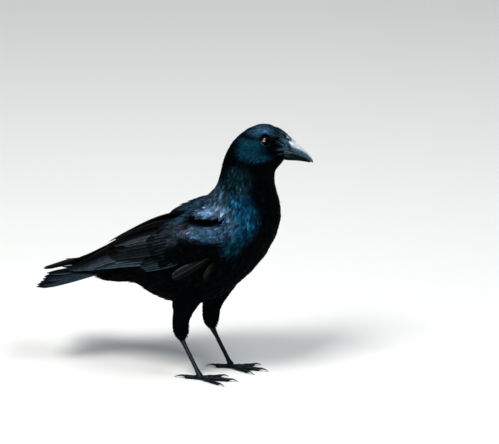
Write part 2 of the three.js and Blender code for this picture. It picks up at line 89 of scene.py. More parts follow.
print("box of the solids, mm:", [round(c / MM, 1) for c in cad_box[1] - cad_box[0]])

# %% [markdown]
# ## Camera, floor and light
# A long lens a few metres off keeps the bird's proportions, as a wildlife picture does. The camera comes
# first, because everything else is judged through it. A pale floor and large soft lights show black
# feathers best: a black surface is seen only by what it reflects, so the lights are wide panels. The
# floor's paper is the first material, so the small class that builds every finish comes with it.

# %% Camera
AZIMUTH = math.radians(12)
ELEVATION = math.radians(20)
VIEW_DISTANCE = 5.0
PICTURE_WIDTH = 0.6088  # what the picture's width spans at the bird, in metres
SENSOR_WIDTH = 36
AIM = Vector(metres([61.8, 0, 203.3]))

level = math.cos(ELEVATION)
back = Vector((math.sin(AZIMUTH) * level, -math.cos(AZIMUTH) * level, math.sin(ELEVATION)))
bpy.ops.object.camera_add(location=AIM + back * VIEW_DISTANCE)
camera = bpy.context.object
camera.rotation_euler = (-back).to_track_quat("-Z", "Y").to_euler()
camera.data.sensor_width = SENSOR_WIDTH
camera.data.lens = SENSOR_WIDTH * VIEW_DISTANCE / PICTURE_WIDTH
camera.data.clip_end = 50
bpy.context.scene.camera = camera
bpy.context.scene.view_settings.view_transform = "Standard"
print("lens, mm:", round(camera.data.lens))


# %% A finish and its nodes
class Finish:
    """A material in the making: its Principled shader, with short ways to add and join nodes."""

    def __init__(self, name, colour, roughness, metallic=0.0, specular=0.5, tint=(1, 1, 1)):
        self.material = bpy.data.materials.new(name)
        self.material.use_nodes = True
        self.shader = self.material.node_tree.nodes["Principled BSDF"].inputs
        self.put("Base Color", (*colour, 1))
        self.put("Roughness", roughness)
        self.put("Metallic", metallic)
        self.put("Specular IOR Level", specular)
        self.put("Specular Tint", (*tint, 1))

    def put(self, socket, value):
        """Links an output to a socket, or sets the socket. A name means one of the shader's."""
        if isinstance(socket, str):
            socket = self.shader[socket]
        if isinstance(value, bpy.types.NodeSocket):
            self.material.node_tree.links.new(value, socket)
        else:
            socket.default_value = value

    def add(self, kind, *values, **settings):
        """The outputs of a new node. Inputs are given in order or by name, other settings by name."""
        node = self.material.node_tree.nodes.new("ShaderNode" + kind)
        for name, value in settings.items():
            socket = node.inputs.get(name.replace("_", " "))
            if socket is None:
                setattr(node, name, value)
            else:
                self.put(socket, value)
        for socket, value in zip(node.inputs, values):
            self.put(socket, value)
        return node.outputs

    def maths(self, operation, *values):
        return self.add("Math", *values, operation=operation)[0]

    def colours(self, operation, *values, **settings):
        return self.add("VectorMath", *values, operation=operation, **settings)[0]

    def place(self):
        """Where a point lies, in its object's coordinates."""
        return self.add("TexCoord")["Object"]

    def noise(self, place, scale, detail, **settings):
        return self.add("TexNoise", Vector=place, Scale=scale, Detail=detail, **settings)["Fac"]

    def tint(self):
        """The piece's own tint attribute: its colour, and the number that goes with it."""
        tint = self.add("Attribute", attribute_name="tint")
        return tint["Color"], tint["Alpha"]

    def ramp(self, share, *stops):
        """A colour ramp through two stops, each a position and a colour."""
        output = self.add("ValToRGB", share)[0]
        for element, (position, colour) in zip(output.node.color_ramp.elements, stops):
            element.position, element.color = position, (*colour, 1)
        return output

    def cells(self, scale, crease=0.12):
        """The height of small raised cells with creases between them."""
        edge = self.add("TexVoronoi", feature="DISTANCE_TO_EDGE", Vector=self.place(), Scale=scale)
        return self.maths("MINIMUM", edge["Distance"], crease)

    def relief(self, height, **settings):
        """Bumps the surface by a height."""
        self.put("Normal", self.add("Bump", Height=height, **settings)[0])


# %% Floor and lights
FLOOR_SIZE = 14
# Each soft light: its place, its size, its power and its colour.
PANELS = {
    "key": ((-0.5, -1.2, 2.4), 0.8, 62, (1.0, 0.99, 0.97)),
    "front": ((1.15, -0.55, 2.5), 0.9, 30, (0.95, 0.98, 1.0)),
    "sky": ((-0.2, 0.9, 2.6), 2.0, 10, (0.86, 0.93, 1.0)),
}
ROOM_COLOUR = (0.90, 0.95, 1.0, 1)
ROOM_LIGHT = 0.20

bpy.ops.mesh.primitive_plane_add(size=FLOOR_SIZE)
floor = bpy.context.object
floor.name = "floor"
floor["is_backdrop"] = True
paper = Finish("floor_paper", (0.86, 0.86, 0.84), 0.9)
paper.relief(paper.add("TexNoise", Scale=60)["Fac"], Strength=0.05)
floor.data.materials.append(paper.material)
for name, (place, size, power, colour) in PANELS.items():
    bpy.ops.object.light_add(type="AREA", location=place)
    light = bpy.context.object
    light.name = name
    light.data.shape = "SQUARE"
    light.data.size = size
    light.data.energy = power
    light.data.color = colour
    light.rotation_euler = (AIM - light.location).to_track_quat("-Z", "Y").to_euler()
world = bpy.context.scene.world or bpy.data.worlds.new("world")
bpy.context.scene.world = world
world.use_nodes = True
room = world.node_tree.nodes["Background"].inputs
room["Color"].default_value = ROOM_COLOUR
room["Strength"].default_value = ROOM_LIGHT
print("lights:", *PANELS)

# %% [markdown]
# ## Materials
# A crow's black is never flat. Its feathers hold a thin layer that mirrors blue and violet, so the
# plumage is a dark, half metallic surface whose colour is the sheen itself. Each feather carries its
# tint as a colour attribute, and fine barbs slant away from its shaft along its own UV map. Horn, scale
# and eye are plain black bodies with a clear gloss and small-scale relief.

# %% Feathers: barbs, shaft and sheen
GRAZING_TINT = (0.035, 0.07, 0.11)  # what a feather mirrors where light only brushes it
HARD_TINT = (0.75, 0.88, 1)  # and what horn and scales mirror there
# The eye's painted highlight: a pale spot of its mirror colour, placed where the light shines back.
EYE_PAINTED_HIGHLIGHT = (-1.3, 2.3, 2.6)  # the bright spot's place ahead of and above the eye's middle, and radius


def times(colour, factor):
    return [c * factor for c in colour]


def feather_finish(name, metallic, specular, barbs, barb_depth, shaft):
    """Barbs slant off the shaft in the feather's own UV map, and the tint gives sheen and painted light."""
    look = Finish(name, (0.02, 0.03, 0.04), 0.45, metallic, specular, GRAZING_TINT)
    vane = look.add("UVMap", uv_map="vane")[0]
    split = look.add("SeparateXYZ", vane)
    across = look.maths("ABSOLUTE", split["X"])
    slant = look.maths("SUBTRACT", split["Y"], look.maths("MULTIPLY", across, 0.35))
    ripple = look.maths("SINE", look.maths("MULTIPLY", slant, barbs))
    fray = look.maths("MULTIPLY", look.noise(vane, 7.0, 3.0), 2.5)
    off_shaft = look.maths("SUBTRACT", 1.0, look.maths("MULTIPLY", across, 14))
    ridge = look.maths("MULTIPLY", look.maths("MAXIMUM", off_shaft, 0.0), shaft)
    height = look.maths("ADD", look.maths("ADD", ripple, fray), ridge)
    look.relief(height, Strength=barb_depth, Distance=0.0004)
    # Blotches a few millimetres wide keep neighbouring barbs from sharing one shade.
    blotch = look.noise(look.place(), 170.0, 4.0, Roughness=0.6)
    shade = look.add("MapRange", blotch, From_Min=0.3, From_Max=0.7, To_Min=0.65, To_Max=1.35)[0]
    sheen, roughness = look.tint()
    look.put("Base Color", look.colours("SCALE", sheen, Scale=shade))
    look.put("Roughness", roughness)
    return look.material


# %% Horn and scales
def horn_finish(name, colour, roughness, specular, marked=False):
    """Dark horn: faint growth lines, fine pits and a clear gloss. A marked one multiplies its tint."""
    look = Finish(name, colour, roughness, 0.0, specular, HARD_TINT)
    lengthwise = look.add("Mapping", look.place(), Scale=(0.25, 1, 1))[0]
    grain = look.noise(lengthwise, 420.0, 5.0, Roughness=0.65)
    shade = look.ramp(grain, (0.3, times(colour, 0.6)), (0.75, times(colour, 1.7)))
    if marked:
        shade = look.colours("MULTIPLY", shade, look.tint()[0])
    look.put("Base Color", shade)
    wear = look.noise(look.place(), 90.0, 3.0)
    worn = look.add("MapRange", wear, To_Min=roughness * 0.75, To_Max=roughness * 1.4)
    look.put("Roughness", worn[0])
    look.relief(grain, Strength=0.25, Distance=0.0002)
    return look.material


def scale_finish(name, colour, roughness):
    """Scaled skin: small raised cells with dark creases between them. The tint multiplies it."""
    look = Finish(name, colour, roughness, 0.0, 0.08, HARD_TINT)
    speck = look.noise(look.place(), 500.0, 4.0)
    shade = look.ramp(speck, (0, times(colour, 0.5)), (1, times(colour, 1.8)))
    look.put("Base Color", look.colours("MULTIPLY", shade, look.tint()[0]))
    look.relief(look.cells(900.0), Strength=0.3, Distance=0.0005)
    return look.material


# %% Eyes, lids and the skin under the coat
def past_eye(look, axis, off=0):
    """How far a place lies past the eye's middle along an axis, or past a spot off from it."""
    along = look.add("SeparateXYZ", look.place())["XYZ"[axis]]
    return look.maths("SUBTRACT", along, float(metres(EYE)[axis]) + off * MM)


def from_spot(look, x, z):
    """How far a place lies from a spot x and z millimetres off the middle of the eye."""
    squares = [look.maths("POWER", past_eye(look, *side), 2.0) for side in ((0, x), (2, z))]
    return look.maths("SQRT", look.maths("ADD", *squares))


def eye_finish():
    """A dark brown iris round a black pupil, wet, with a painted highlight: a spot that mirrors far more."""
    look = Finish("wet_eye", (0.004, 0.003, 0.003), 0.14, 1.0, 0.5, (0.2, 0.25, 0.3))
    wobble = look.maths("MULTIPLY", look.noise(look.place(), 900.0, 3.0), 0.0006)
    radius = look.maths("ADD", from_spot(look, 0, 0), wobble)
    share = look.maths("MULTIPLY", radius, 1 / (EYE_RADIUS * MM))
    iris = look.ramp(share, (0.44, (0.002, 0.002, 0.003)), (0.56, (0.005, 0.003, 0.0025)))
    x, z, highlight_radius = EYE_PAINTED_HIGHLIGHT
    share = look.maths("MULTIPLY", from_spot(look, x, z), 1 / (highlight_radius * MM))
    # The painted highlight: a pale spot in the eye's mirror colour.
    painted_highlight = look.ramp(share, (0.45, (0.95, 1.0, 1.0)), (1.0, (0, 0, 0)))
    look.put("Base Color", look.colours("ADD", iris, painted_highlight))
    return look.material


def lid_finish():
    """Bare wrinkled skin, black above, with a grey-blue painted highlight on the lower lid's rim."""
    look = Finish("lid_skin", (0.002, 0.006, 0.008), 0.45, 0.0, 0.06)
    height = look.maths("ADD", look.maths("MULTIPLY", past_eye(look, 2), 1 / (12 * MM)), 0.5)
    # The lower rim's grey-blue is a painted highlight where it faces up to the light.
    shade = look.ramp(height, (0.34, (0.300, 0.500, 0.560)), (0.54, (0.001, 0.002, 0.003)))
    look.put("Base Color", shade)
    look.relief(look.cells(1400.0), Strength=0.5, Distance=0.0004)
    return look.material


def skin_finish():
    """The skin takes the coat's tint, darker, with the stipple of quills."""
    look = Finish("skin_under_coat", (0.01, 0.01, 0.012), 0.8, 0.0, 0.02)
    quills = look.add("TexVoronoi", Vector=look.place(), Scale=420.0)["Distance"]
    look.relief(quills, Strength=0.5, Distance=0.0008)
    look.put("Base Color", look.tint()[0])
    return look.material


# %% The finishes of the crow
contour_look = feather_finish("contour_feathers", 0.8, 0.08, 240.0, 0.2, 0.6)
flight_look = feather_finish("flight_feathers", 0.6, 0.12, 700.0, 0.2, 3.0)
bristle_look = feather_finish("bristles", 0.6, 0.12, 60.0, 0.2, 0.5)
upper_bill_look = horn_finish("upper_bill_horn", (1, 1, 1), 0.26, 1.0, marked=True)
lower_bill_look = horn_finish("lower_bill_horn", (1, 1, 1), 0.45, 0.02, marked=True)
claw_look = horn_finish("claw_horn", (0.004, 0.004, 0.005), 0.32, 0.35)
leg_look = scale_finish("leg_scales", (0.003, 0.005, 0.007), 0.28)
lid_look = lid_finish()
eye_look = eye_finish()
skin_look = skin_finish()
print("materials:", len(bpy.data.materials))

# %% [markdown]
# ## Skin
# Under the feathers a bird is one continuous body. The solids of the flesh are copied, welded, joined
# and rebuilt as one even mesh by a voxel remesh, which closes the thin cuts between them. The result is
# smoothed and drawn in by the depth of the coat, so that the feathers end where the solids did.

# %% Joining the flesh into one skin
FLESH = ["head", "neck", "trunk", "tail_base", "thigh_right", "thigh_left"]
FLESH += ["wing_right_coverts", "wing_left_coverts"]
VOXEL = 2.0


def only(obj):
    """Makes obj the one selected and active object."""
    bpy.ops.object.select_all(action="DESELECT")
    obj.select_set(True)
    bpy.context.view_layer.objects.active = obj


def edit_all(operator, **settings):
    """Runs an operator of edit mode on the whole of the active object."""
    bpy.ops.object.mode_set(mode="EDIT")
    bpy.ops.mesh.select_all(action="SELECT")
    operator(**settings)
    bpy.ops.object.mode_set(mode="OBJECT")


def modify(obj, kind, **settings):
    """Gives the active object a modifier and applies it."""
    modifier = obj.modifiers.new(kind.lower(), kind)
    for name, value in settings.items():
        setattr(modifier, name, value)
    bpy.ops.object.modifier_apply(modifier=modifier.name)


def surface_of(obj):
    """A tree that finds the nearest place on an object."""
    return BVHTree.FromObject(obj, bpy.context.evaluated_depsgraph_get())


bpy.ops.object.select_all(action="DESELECT")
copies = [bpy.data.objects.new(f"{name}_flesh", nodes[name].data.copy()) for name in FLESH]
for copy in copies:
    copy.data.materials.clear()
    bpy.context.scene.collection.objects.link(copy)
    copy.select_set(True)
bpy.context.view_layer.objects.active = copies[0]
bpy.ops.object.join()
skin = bpy.context.object
edit_all(bpy.ops.mesh.remove_doubles, threshold=1e-6)
modify(skin, "REMESH", mode="VOXEL", voxel_size=VOXEL * MM)
modify(skin, "SMOOTH", factor=0.5, iterations=5)
# The cuts between the solids can leave bubbles inside: only the largest shell stays.
edit_all(bpy.ops.mesh.separate, type="LOOSE")
shells = sorted(bpy.context.selected_objects, key=lambda o: len(o.data.vertices))
for bubble in shells[:-1]:
    bpy.data.objects.remove(bubble)
skin = shells[-1]
skin.name = skin.data.name = "skin"
print("skin faces:", len(skin.data.polygons))

# %% [markdown]
# ## The lie of the coat
# Feathers grow in tracts and point away from the bill: back over crown and cheeks, down neck and
# breast, along back and belly to the tail, down the thighs, and straight back over the folded wing. A
# line through the middle of the body gives that direction anywhere. The same line gives the feathers'
# length, from bristle-short on the face to long at the tail.

# %% Measures of body, wings and tail
# The body's middle line from the undertail to the face: x, z and the length of the feathers there.
MIDDLE_LINE = np.array(
    [
        [-131, 129, 27], [-105, 137, 26], [-77, 144, 24], [-50, 147, 23], [-20, 152, 22], [10, 163, 22],
        [33, 181, 20], [50, 202, 18], [61, 226, 16], [64, 244, 14.5], [62, 262, 12.5], [63, 277, 11],
        [69, 291, 9.5], [79, 301, 7.5], [91, 308, 6], [100, 307, 4.8], [107, 304, 4], [111, 302, 3.5],
    ]
)  # fmt: skip
# The folded wing lies on round sections: x, middle y, middle z, radius.
WING_SECTIONS = np.array(
    [
        [-160, 0, 104, 29], [-130, 0, 121, 31], [-100, 1, 137, 34.5], [-60, 2, 150, 44],
        [0, 4, 167, 49], [30, 4, 180, 47], [66, 6, 192, 37],
    ]
)  # fmt: skip
SCAPULARS = {"centre": [0, 27, 207.5], "radii": [54, 15, 15.5], "pitch": 22, "yaw": -6}
HUMP = {"centre": [26, 33, 224], "radii": [24, 13, 11], "pitch": 8, "yaw": 0}
NASAL_TUFT = {"centre": [100.5, 0, 308.5], "radii": [19, 9.8, 8.2], "pitch": -22, "yaw": 0}
# The tail leaves the body here: x and z of its root, then its length and slopes in degrees.
TAIL_ROOT = (-78, 147)
TAIL_LENGTH = 132
TAIL_SLOPE = 17.5
TAIL_FAN = 9.5
TAIL_SPREAD = 14
TAIL_ARCH = 1
TAIL_LEFT_LIFT = 4.6
TAIL_LEFT_TURN = 3
WING_LIE = unit(np.array([-0.94, 0.0, -0.3]))
SCAPULAR_LIE = unit(np.array([-0.92, 0.05, -0.38]))
HUMP_LIE = unit(np.array([-0.8, 0.0, -0.6]))
THIGH_LIE = unit(np.array([-0.2, 0.0, -0.98]))
NASAL_LIE = unit(np.array([0.92, 0.0, -0.38]))
HEAD, NECK, BODY, RUMP, THIGH, WING, SCAPULAR, NASAL, GAP = range(9)


# %% Finding places on the body
def curve_through(table, column, x):
    """A column of a table on a smooth curve over its first column."""
    xs, ys = table[:, 0], table[:, column]
    slopes = np.gradient(ys, xs)
    i = np.clip(np.searchsorted(xs, x) - 1, 0, len(xs) - 2)
    span = xs[i + 1] - xs[i]
    t = np.clip((x - xs[i]) / span, 0, 1)
    start = ys[i] * (1 + 2 * t) * (1 - t) ** 2 + slopes[i] * span * t * (1 - t) ** 2
    return start + ys[i + 1] * t * t * (3 - 2 * t) - slopes[i + 1] * span * t * t * (1 - t)


def on_wing(x, angle, lift, side):
    """A point lift over the folded wing's carrying surface, angle in degrees from straight up."""
    radius = curve_through(WING_SECTIONS, 3, x) + lift
    turn = np.radians(angle)
    y = curve_through(WING_SECTIONS, 1, x) + radius * np.sin(turn)
    z = curve_through(WING_SECTIONS, 2, x) + radius * np.cos(turn)
    return np.stack(np.broadcast_arrays(x, side * y, z), -1)


def off_wing_axis(points):
    """How far points lie outwards of and above the middle of the wing's sections."""
    across = np.abs(points[:, 1]) - curve_through(WING_SECTIONS, 1, points[:, 0])
    return across, points[:, 2] - curve_through(WING_SECTIONS, 2, points[:, 0])


def wing_angle(points):
    """The angle of points round the wing's sections, from straight up."""
    return np.degrees(np.arctan2(*off_wing_axis(points)))


def inside(points, form, grow):
    """Which points lie in an ellipsoid that has grown by a margin, on either side of the bird."""
    pitch, yaw = math.radians(form["pitch"]), math.radians(form["yaw"])
    local = np.stack([points[:, 0], np.abs(points[:, 1]), points[:, 2]], 1) - np.array(form["centre"])
    x = local[:, 0] * math.cos(yaw) + local[:, 1] * math.sin(yaw)
    y = -local[:, 0] * math.sin(yaw) + local[:, 1] * math.cos(yaw)
    along = x * math.cos(pitch) + local[:, 2] * math.sin(pitch)
    up = -x * math.sin(pitch) + local[:, 2] * math.cos(pitch)
    scaled = np.stack([along, y, up], 1) / (np.array(form["radii"]) + grow)
    return np.linalg.norm(scaled, axis=1) < 1


def along_body(points):
    """Where on the middle line points lie, as a station count, and the line's direction there."""
    line = MIDDLE_LINE[:, :2]
    flat = points[:, [0, 2]]
    start, step = line[:-1], np.diff(line, axis=0)
    share = ((flat[:, None] - start) * step).sum(2) / (step**2).sum(1)
    share = np.clip(share, 0, 1)
    gap = np.linalg.norm(flat[:, None] - start - share[..., None] * step, axis=2)
    nearest = gap.argmin(1)
    station = nearest + share[np.arange(len(points)), nearest]
    tangents = unit(np.gradient(line, axis=0))
    tangent = np.stack([np.interp(station, np.arange(len(line)), tangents[:, k]) for k in (0, 1)], 1)
    return station, unit(np.stack([tangent[:, 0], np.zeros(len(points)), tangent[:, 1]], 1))


# %% The skin's points and their neighbours
def read(collection, field, width, kind=float):
    """One field of all the items in a mesh's collection, as the rows of an array."""
    values = np.zeros(len(collection) * width, kind)
    collection.foreach_get(field, values)
    return values.reshape(-1, width)


mesh = skin.data
count = len(mesh.vertices)
skin_places = read(mesh.vertices, "co", 3)
skin_points = skin_places / MM - SHIFT
skin_normals = read(mesh.vertices, "normal", 3)
edges = read(mesh.edges, "vertices", 2, int)
degree = np.bincount(edges.ravel(), minlength=count)[:, None]


def spread(values, rounds):
    """Values at the skin's points, evened out with their neighbours' a number of times."""
    for _ in range(rounds):
        total = np.zeros_like(values)
        np.add.at(total, edges[:, 0], values[edges[:, 1]])
        np.add.at(total, edges[:, 1], values[edges[:, 0]])
        values = 0.5 * values + 0.5 * total / degree
    return values


# %% Parting the coat into tracts
# Where head, neck and rump begin along the middle line, counted in its stations.
HEAD_FROM, NECK_FROM, RUMP_TO = 11.2, 8.2, 1.6
LIMB_HEIGHTS = (40, 250)
SHELL_REACH = 2.2 * MM
NASAL_FROM = 97
station, ahead = along_body(skin_points)
tract = np.where(station > HEAD_FROM, HEAD, np.where(station > NECK_FROM, NECK, BODY))
tract[station < RUMP_TO] = RUMP
x_of_skin, y_of_skin, z_of_skin = skin_points.T
for name in FLESH[4:]:
    shell = surface_of(nodes[name])
    for i in np.flatnonzero((z_of_skin > LIMB_HEIGHTS[0]) & (z_of_skin < LIMB_HEIGHTS[1])):
        if shell.find_nearest(Vector(skin_places[i]), SHELL_REACH)[0] is not None:
            tract[i] = THIGH if "thigh" in name else WING
tract[inside(skin_points, SCAPULARS, 1.0) | inside(skin_points, HUMP, 0)] = SCAPULAR
tract[inside(skin_points, NASAL_TUFT, 1.0) & (x_of_skin > NASAL_FROM)] = NASAL
# Under the right scapulars' lower edge the coat parts, and the dark gap beneath shows: its bare skin is
# painted near black as shade.
GAP_ANGLE = ([-6, 20, 44], [36, 44, 51])
GAP_ENDS = (-4, 40)
GAP_HALF = 4.5


def off_gap(points):
    """How many degrees below the middle of the gap points lie, and far off beyond its ends."""
    x = points[:, 0]
    off = wing_angle(points) - np.interp(x, *GAP_ANGLE)
    past_ends = np.maximum(np.maximum(GAP_ENDS[0] - x, x - GAP_ENDS[1]), 0)
    return np.where(points[:, 1] < -12, off + 2.5 * np.sign(off) * past_ends, 99)


tract[np.abs(off_gap(skin_points)) < GAP_HALF] = GAP
print("points in each tract:", np.bincount(tract, minlength=9))

# %% Lengths, directions and the coat's depth
# Some tracts have lengths of their own, over x (0) or z (2), and some a depth of their own.
TRACT_LENGTHS = [
    ((WING, GAP), 0, [-45, 0, 40, 62], [19, 15, 11, 8]),
    ((SCAPULAR,), 0, [-45, 0, 45], [27, 20, 13]),
    ((THIGH,), 2, [50, 70, 120], [7, 10, 18]),
    ((NASAL,), 0, [0], [11]),
]
TRACT_DEPTHS = {RUMP: 1.3, NASAL: 1.4, WING: 1.9, GAP: 7}
# The coat's depth over the feathers' length, both in millimetres.
DEPTHS = ([3, 6, 12, 22], [0.5, 1.0, 1.9, 2.7])
SHORTEST = 3.2
LID_REACH = 7


def ease(low, high, values):
    """0 below low, 1 above high and a smooth step between."""
    t = np.clip((values - low) / (high - low), 0, 1)
    return (t * t * (3 - 2 * t))[..., None]


length = np.interp(station, np.arange(len(MIDDLE_LINE)), MIDDLE_LINE[:, 2])
for tracts, axis, places, lengths in TRACT_LENGTHS:
    own = np.isin(tract, tracts)
    length[own] = np.interp(skin_points[own, axis], places, lengths)
lie = -ahead
lie[np.isin(tract, (WING, GAP))] = WING_LIE
lie[tract == SCAPULAR] = SCAPULAR_LIE
lie[(tract == SCAPULAR) & (x_of_skin > -6)] = HUMP_LIE
lie[tract == THIGH] = THIGH_LIE
lie = unit(spread(lie, 10))
lie[tract == NASAL] = NASAL_LIE
# Round the eye the feathers part and grow shorter.
from_eye = skin_points - EYE * np.stack([np.ones(count), np.sign(y_of_skin), np.ones(count)], 1)
eye_gap = np.linalg.norm(from_eye[:, [0, 2]], axis=1)
near_eye = np.exp(-np.maximum(eye_gap - LID_REACH, 0) / 3) * (np.abs(y_of_skin) > 6)
lie = unit(lie + 1.3 * near_eye[:, None] * unit(from_eye))
lie = unit(lie - (lie * skin_normals).sum(1, keepdims=True) * skin_normals)
length = np.minimum(length, np.maximum(SHORTEST, 0.55 * (eye_gap - 5) + 2.6))
length = length * np.where(tract == HEAD, 1, 0.86)
depth = np.interp(length, *DEPTHS)
for label, own_depth in TRACT_DEPTHS.items():
    depth[tract == label] = own_depth
# The undertail feathers lie flat, so the skin is drawn in further there.
under = ease(0.0, 0.6, -skin_normals[:, 2])[:, 0] * (tract != THIGH)
depth += 4.5 * under * np.exp(-(((x_of_skin + 84) / 19) ** 2))
depth = spread(depth[:, None], 4)[:, 0]
print("feather lengths, mm:", length.min().round(1), "to", length.max().round(1))

# %% [markdown]
# ## Tints
# A black bird is darkest on throat, breast front and belly. Its own sheen is teal on cheeks and lower
# breast sides, deep blue beside the breast, violet on crown, mantle, shoulder and upper coverts, and its
# patches also carry painted light: the bright ones on back, mantle, breast side, shoulder, upper coverts,
# wing's front, crown, cheek and by the gape are painted highlights, and the dark ones under the ear and
# behind the eye are painted shade. Each patch is an ellipsoid that fades outwards. Skin and feathers take
# their tint from the same function, so where feathers part the colour doesn't jump.

# %% Tints of skin and feathers
SOOT = np.array([0.0012, 0.0018, 0.0024])
# The gap's skin tint is painted shade.
GAP_PAINTED_SHADE = 0.0002
# Middle (x, distance from the middle plane, z), the three radii, tint, and how fully the patch covers.
# Bright patches are painted highlights and dark ones painted shade; their hues are the plumage's own sheen.
PATCHES = [
    ((40, 8, 240), (36, 30, 32), (0.014, 0.036, 0.055), 0.9),  # hindneck to mantle
    # Painted highlight on the back.
    ((10, 8, 222), (64, 28, 22), (0.036, 0.085, 0.140), 0.95),  # back
    # Painted highlight on the mantle.
    ((34, 20, 238), (33, 26, 23), (0.060, 0.130, 0.200), 0.95),  # mantle
    ((52, 28, 262), (26, 26, 26), (0.006, 0.024, 0.034), 0.8),  # neck side
    # The breast side's blue is its own sheen, brightened as a painted highlight where it bulges up.
    ((57, 40, 221), (31, 24, 39), (0.006, 0.064, 0.128), 1.0),  # breast side
    ((47, 46, 188), (18, 20, 22), (0.003, 0.027, 0.044), 0.9),  # lower breast side
    # Painted highlight on the shoulder's hump.
    ((27, 33, 225), (35, 22, 17), (0.125, 0.225, 0.370), 1.0),  # shoulder
    ((-24, 24, 208), (38, 20, 18), (0.024, 0.058, 0.090), 0.9),  # long scapulars
    # Painted highlight along the coverts' upper part.
    ((18, 46, 202), (40, 20, 15), (0.032, 0.078, 0.134), 1.0),  # upper coverts
    ((-14, 42, 201), (24, 16, 12), (0.062, 0.090, 0.130), 0.85),  # rear coverts
    # Painted highlight along the wing's front edge.
    ((47, 44, 213), (12, 16, 15), (0.085, 0.200, 0.330), 0.9),  # wing's front
    ((-30, 40, 192), (24, 18, 22), (0.020, 0.028, 0.036), 0.9),  # rear of the coverts
    ((86, 14, 296), (13, 9, 8), (0.003, 0.030, 0.044), 0.9),  # moustache
    ((64, 12, 320), (36, 26, 22), (0.010, 0.036, 0.066), 0.9),  # hind crown
    # Painted highlight on the crown.
    ((80, 4, 330), (24, 20, 12), (0.022, 0.060, 0.108), 1.0),  # crown
    ((92, 5, 321), (11, 10, 8), (0.024, 0.062, 0.100), 0.9),  # forehead
    # The cheek's teal sheen, brightened as a painted highlight.
    ((66, 18, 303), (25, 20, 20), (0.003, 0.034, 0.058), 1.0),  # cheek
    ((76, 22, 294), (18, 14, 8), (0.004, 0.044, 0.074), 0.9),  # lower cheek
    # Painted shade under the ear coverts.
    ((57, 21, 284), (15, 14, 8), (0.0010, 0.0030, 0.0045), 0.9),  # under the ear
    # Painted shade in a line behind the eye.
    ((61, 14, 316.5), (27, 24, 4.2), (0.0010, 0.0050, 0.0085), 1.0),  # behind the eye
    ((92, 12, 314), (9, 9, 7), (0.0008, 0.0014, 0.0020), 1.0),  # lore
    # Painted highlights in streaks over and under the gape.
    ((96, 10, 304.2), (14, 8, 2.3), (0.120, 0.290, 0.350), 1.0),  # over the gape
    ((98, 10, 298.8), (10, 8, 1.9), (0.055, 0.150, 0.185), 1.0),  # under the gape
]


def blend(first, second, share):
    return first * (1 - share) + second * share


def tint_at(points):
    """Sheen and painted light at places on the bird, with its roughness as a fourth number."""
    folded = points * [1, 0, 1] + np.abs(points) * [0, 1, 0]
    colour = np.tile(SOOT, (len(points), 1))
    for middle, radii, tint, share in PATCHES:
        away = np.linalg.norm((folded - middle) / np.array(radii), axis=1)
        colour = blend(colour, np.array(tint), share * (1 - ease(0.3, 1.0, away)))
    rough = 0.6 - 0.15 * ease(0.0, 0.03, colour[:, 2])
    return np.concatenate([colour, rough], 1)


skin_tint = tint_at(skin_points)
# The gap's bare skin is painted near black: painted shade under the scapulars.
skin_tint[tract == GAP, :3] = GAP_PAINTED_SHADE
skin_tint = spread(skin_tint, 1)

drawn_in = skin_points - skin_normals * depth[:, None]
mesh.vertices.foreach_set("co", metres(drawn_in).ravel())
mesh.update()
bpy.context.view_layer.update()
skin_tree = surface_of(skin)
print("patches of tint:", len(PATCHES))

# %% Unwrapping the skin and giving it its look
SKIN_SHADE = np.array([0.5, 0.5, 0.5, 1])  # how much of the coat's tint the skin under it takes


def paint(made, colours):
    """Gives a mesh its tint attribute: a colour and one more number for each point."""
    layer = made.color_attributes.new("tint", "FLOAT_COLOR", "POINT")
    layer.data.foreach_set("color", colours.ravel())


only(skin)
bpy.ops.object.shade_smooth()
edit_all(bpy.ops.uv.smart_project, angle_limit=math.radians(66), island_margin=0.004)
mesh.uv_layers[0].name = "OFBake"
paint(mesh, skin_tint * SKIN_SHADE)
mesh.materials.clear()
mesh.materials.append(skin_look)
mesh.calc_loop_triangles()
triangles = read(mesh.loop_triangles, "vertices", 3, int)
corners = read(mesh.loop_triangles, "loops", 3, int)
uv = read(mesh.uv_layers["OFBake"].data, "uv", 2)
print("skin triangles:", len(triangles))

# %% [markdown]
# ## One feather, bent to the body
# Every contour feather is the same small sheet: narrow at the root, full in the middle, rounded and a
# little frayed at the tip, and arched over its shaft. It is laid on the skin by a coarse net of points
# that steps along the lie of the coat and feels for the skin below, so it follows the body as a real
# feather does but stays stiff where the body turns away sharply. Thousands are made in one go with
# arrays, as copies by hand or particles would be slow, and hair wouldn't survive an export.

# %% Feather shapes
NET_ROWS = 5
PATCH = 0.003  # how wide a feather's own patch is on the skin's unwrap
rng = np.random.default_rng(7)


def grid_quads(rows, columns):
    """The quads between the points of a grid, counted row by row."""
    i, j = np.meshgrid(np.arange(rows - 1), np.arange(columns - 1), indexing="ij")
    first = (i * columns + j).ravel()
    return np.stack([first, first + columns, first + columns + 1, first + 1], 1)


def feather_shape(rows, columns, tip_width, tip_round, base_width=0.45):
    """Places in a feather's own (across, along) sheet and the quads between them."""
    along = 1 - (1 - np.linspace(0, 1, rows)) ** 1.35
    across = np.linspace(-1, 1, columns)
    b, a = np.meshgrid(along, across, indexing="ij")
    widths = [base_width, 0.85, 1, 0.8 + 0.2 * tip_width, tip_width]
    width = np.interp(b, [0, 0.35, 0.7, 0.9, 1], widths)
    places = np.stack([a * width, b * (1 - tip_round * (a**2) * b**3)], -1).reshape(-1, 2)
    return places, grid_quads(rows, columns), np.stack([a.ravel(), b.ravel()], 1)


